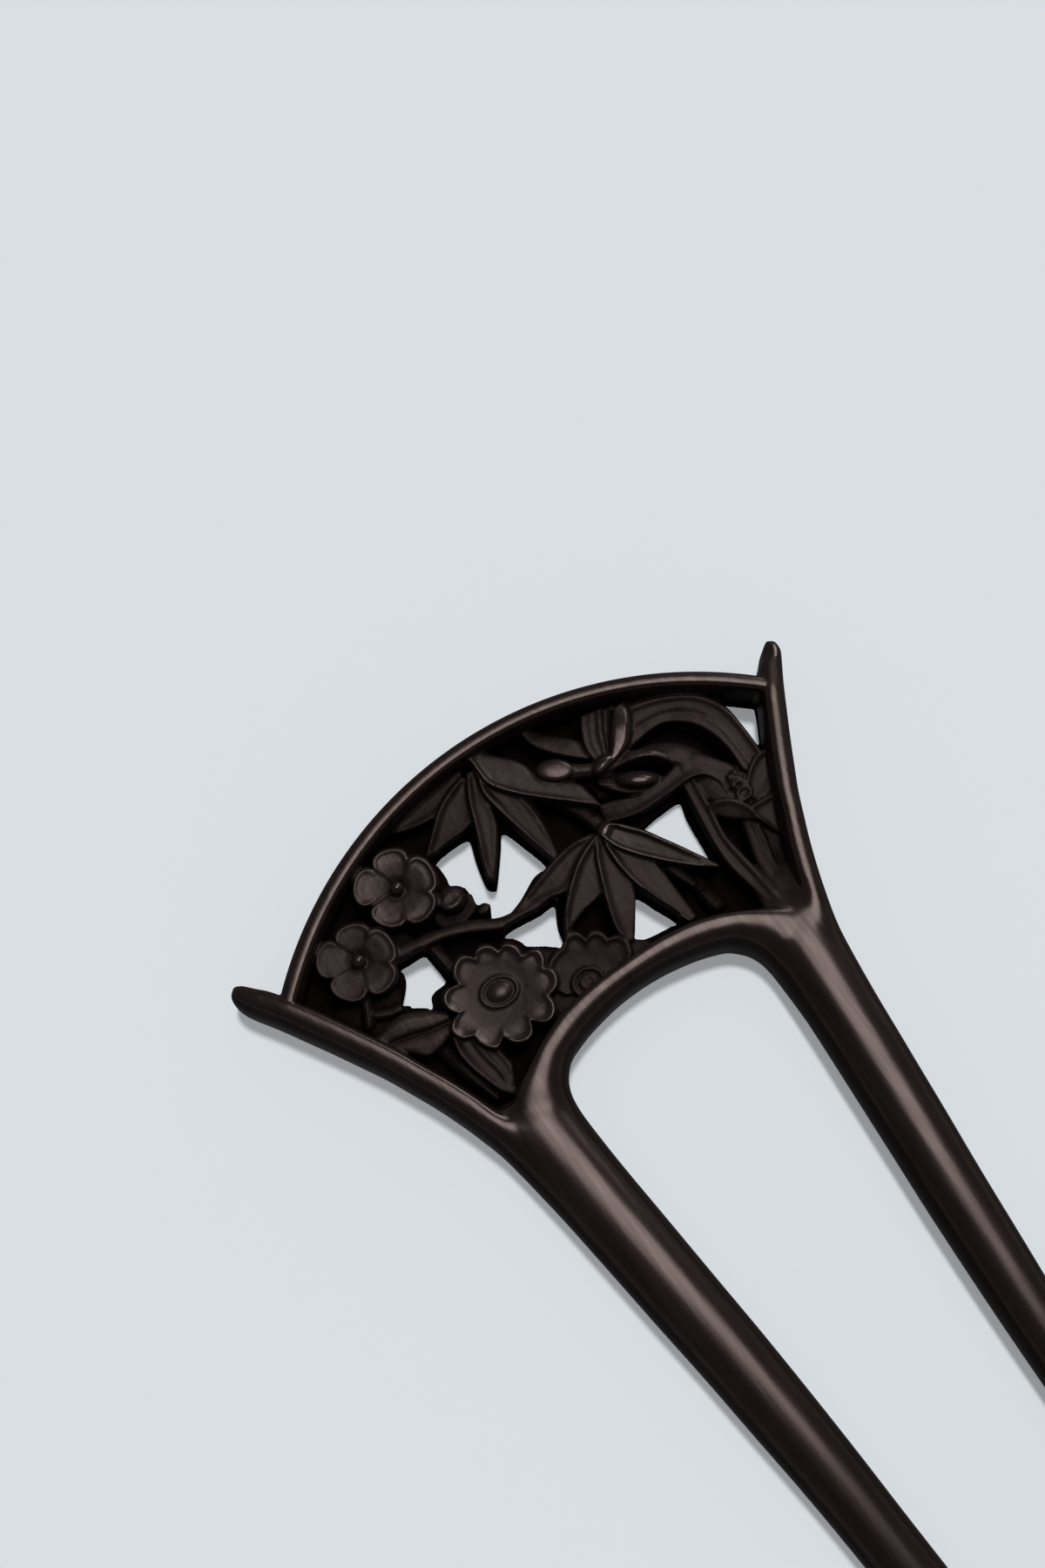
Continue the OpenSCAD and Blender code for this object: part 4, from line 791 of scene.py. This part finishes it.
def woodMaterial():
    mat = bpy.data.materials.new("darkWood")
    mat.use_nodes = True
    nodes, links = mat.node_tree.nodes, mat.node_tree.links
    shader = nodes["Principled BSDF"]
    shader.inputs["Specular Tint"].default_value = (*wood["sheen"], 1)
    place = nodes.new("ShaderNodeTexCoord")
    spot = nodes.new("ShaderNodeSeparateXYZ")
    links.new(place.outputs["Object"], spot.inputs["Vector"])

    def number(operation, first, second):  # a sum on two sockets or plain values
        node = nodes.new("ShaderNodeMath")
        node.operation = operation
        for socket, value in zip(node.inputs, (first, second)):
            if isinstance(value, (int, float)):
                socket.default_value = value
            else:
                links.new(value, socket)
        return node.outputs["Value"]

    def ranged(value, low, high, start=0.0, end=1.0):  # low to high becomes start to end
        node = nodes.new("ShaderNodeMapRange")
        for name, bound in (("From Min", low), ("From Max", high), ("To Min", start), ("To Max", end)):
            node.inputs[name].default_value = bound
        links.new(value, node.inputs["Value"])
        return node.outputs["Result"]

    def speckle(vector, scale, detail):
        node = nodes.new("ShaderNodeTexNoise")
        node.inputs["Scale"].default_value = scale
        node.inputs["Detail"].default_value = detail
        links.new(vector, node.inputs["Vector"])
        return node.outputs["Fac"]

    def bumped(height, distance, strength, below=None):
        node = nodes.new("ShaderNodeBump")
        node.inputs["Distance"].default_value = distance
        links.new(height, node.inputs["Height"])
        if isinstance(strength, float):
            node.inputs["Strength"].default_value = strength
        else:
            links.new(strength, node.inputs["Strength"])
        if below:
            links.new(below, node.inputs["Normal"])
        return node.outputs["Normal"]

    def farFrom(x, y):  # how far a point lies from a place in the plan
        aside = number("POWER", number("SUBTRACT", spot.outputs["X"], x*mm), 2)
        ahead = number("POWER", number("SUBTRACT", spot.outputs["Y"], (y + headShift)*mm), 2)
        return number("POWER", number("ADD", aside, ahead), 0.5)

    def inHead(grow, sides):  # 1 between the crest, the curve over the prongs and the two sides
        (cx, cy, crestReach), (ux, uy, curveReach) = inside["crest"], inside["curve"]
        underCrest = number("LESS_THAN", farFrom(cx, cy), (crestReach + grow)*mm)
        overCurve = number("GREATER_THAN", farFrom(ux, uy), (curveReach - grow)*mm)
        start = inside["halfWidth"] - inside["slope"]*(inside["at"] + headShift) + sides
        edge = number("ADD", number("MULTIPLY", spot.outputs["Y"], inside["slope"]), start*mm)
        between = number("LESS_THAN", number("ABSOLUTE", spot.outputs["X"], 0), edge)
        return number("MULTIPLY", number("MULTIPLY", underCrest, overCurve), between)

    # colour in fine streaks, and open pores, both drawn out along the grain
    grain = nodes.new("ShaderNodeMapping")
    grain.inputs["Scale"].default_value = wood["streaks"]
    links.new(place.outputs["Object"], grain.inputs["Vector"])
    tone = nodes.new("ShaderNodeValToRGB")
    for element, at, colour in zip(tone.color_ramp.elements, (0.3, 0.75), (wood["dark"], wood["light"])):
        element.position = at
        element.color = (*colour, 1)
    links.new(speckle(grain.outputs["Vector"], 1.0, 6), tone.inputs["Fac"])
    pores = speckle(grain.outputs["Vector"], wood["pores"], 4)
    # the carving keeps a dry cut surface, the rims and prongs round it are rubbed smooth
    height = spot.outputs["Z"]
    inPanel, inPits = inHead(0, 0), inHead(0.7, 1.4)  # the pits reach in under the rims
    carved = number("MULTIPLY", inPanel, ranged(height, *wood["carvedTop"]))
    links.new(ranged(carved, 0, 1, wood["polishedRough"], wood["carvedRough"]), shader.inputs["Roughness"])
    # the low carving gets less sheen than the high: painted shade in the hollows
    dulled = ranged(height, *wood["hollowShade"], 1 - wood["lowShine"], 1 - wood["highShine"])
    shine = number("SUBTRACT", 1.0, number("MULTIPLY", carved, dulled))
    fibre = number("ADD", number("MULTIPLY", pores, wood["fibres"]), 0.5 - 0.5*wood["fibres"])
    # the bottom of the carving and the foot of the sides have painted shade: less gloss and a darker colour
    # towards the bottom
    foot = ranged(height, *wood["foot"], wood["footShadeAndShine"])
    outside = number("MULTIPLY", number("SUBTRACT", 1.0, inPits), foot)
    lifted = number("MAXIMUM", number("MULTIPLY", ranged(height, *wood["deep"]), inPits), outside)
    gloss = number("MULTIPLY", lifted, number("MULTIPLY", shine, fibre))
    links.new(gloss, shader.inputs["Specular IOR Level"])
    shade = nodes.new("ShaderNodeVectorMath")
    shade.operation = "SCALE"
    links.new(tone.outputs["Color"], shade.inputs[0])
    # painted shade: the colour darkens by the same mask towards the bottom of the pits and the foot of the
    # sides, no further than the ground's share
    links.new(number("MAXIMUM", lifted, wood["groundShade"]), shade.inputs["Scale"])
    links.new(shade.outputs["Vector"], shader.inputs["Base Color"])
    # pores, and tool marks in the carving
    fine = bumped(pores, wood["poreDepth"], wood["poreBump"])
    marks = speckle(place.outputs["Object"], wood["marks"], 2)
    gouged = bumped(marks, wood["markDepth"], number("MULTIPLY", carved, wood["markBump"]), fine)
    links.new(gouged, shader.inputs["Normal"])
    return mat


fork.data.materials.clear()
fork.data.materials.append(woodMaterial())
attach(fork, "root")
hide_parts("fork")
print("wood finish on the fork")

pale = {"colour": (0.80, 0.84, 0.875), "rough": 0.9, "reach": 8, "below": 0.00004}
floorMesh = bmesh.new()
bmesh.ops.create_grid(floorMesh, x_segments=1, y_segments=1, size=pale["reach"])
floor = asObject(floorMesh, "paleFloor")
floor.data.transform(Matrix.Translation((0, 0, -pale["below"])))
paper = bpy.data.materials.new("palePaper")
paper.use_nodes = True
surface = paper.node_tree.nodes["Principled BSDF"]
surface.inputs["Base Color"].default_value = (*pale["colour"], 1)
surface.inputs["Roughness"].default_value = pale["rough"]
floor.data.materials.append(paper)
floor.visible_glossy = False
floor.visible_diffuse = False

# the wood and the floor have lamps of their own
suns = {
    "woodTop": {"from": (0.25, 0.08, 0.96), "strength": 1.15, "angle": 28, "lights": fork, "shadow": True},
    "woodKey": {"from": (0.77, 0.38, 0.50), "strength": 0.8, "angle": 22, "lights": fork, "shadow": True},
    "floorKey": {"from": (0.13, 0.19, 0.97), "strength": 1.5, "angle": 8, "lights": floor, "shadow": True},
    "floorFill": {"from": (0, 0, 1), "strength": 0.95, "angle": 8, "lights": floor, "shadow": False}}
for name, sun in suns.items():
    lamp = bpy.data.lights.new(name, "SUN")
    lamp.energy = sun["strength"]
    lamp.angle = math.radians(sun["angle"])
    lamp.use_shadow = sun["shadow"]
    holder = bpy.data.objects.new(name, lamp)
    bpy.context.scene.collection.objects.link(holder)
    holder.matrix_world = Vector(sun["from"]).to_track_quat("Z", "Y").to_matrix().to_4x4()
    lit = bpy.data.collections.new(name + "Lights")
    lit.objects.link(sun["lights"])
    holder.light_linking.receiver_collection = lit

# the floor's glow on the wood, the pale walls and a dim ceiling, by how high a ray goes
softRoom = {"colour": (0.92, 0.96, 1.0), "glow": (0.44, 0.06), "walls": (0.53, 0.3), "ceiling": (0.72, 0.1)}
world = bpy.data.worlds.new("softRoom")
world.use_nodes = True
room = world.node_tree
aim = room.nodes.new("ShaderNodeTexCoord")
parts = room.nodes.new("ShaderNodeSeparateXYZ")
room.links.new(aim.outputs["Generated"], parts.inputs["Vector"])
above = room.nodes.new("ShaderNodeMapRange")
above.inputs["From Min"].default_value = -1
room.links.new(parts.outputs["Z"], above.inputs["Value"])
glow = room.nodes.new("ShaderNodeValToRGB")
glow.color_ramp.elements.new(0.5)
steps = [softRoom[k] for k in ("glow", "walls", "ceiling")]
for element, (at, strength) in zip(glow.color_ramp.elements, steps):
    element.position = at
    element.color = (strength, strength, strength, 1)
room.links.new(above.outputs["Result"], glow.inputs["Fac"])
room.links.new(glow.outputs["Color"], room.nodes["Background"].inputs["Strength"])
room.nodes["Background"].inputs["Color"].default_value = (*softRoom["colour"], 1)
bpy.context.scene.world = world
bpy.context.scene.view_settings.view_transform = "Standard"
print("floor and light set")
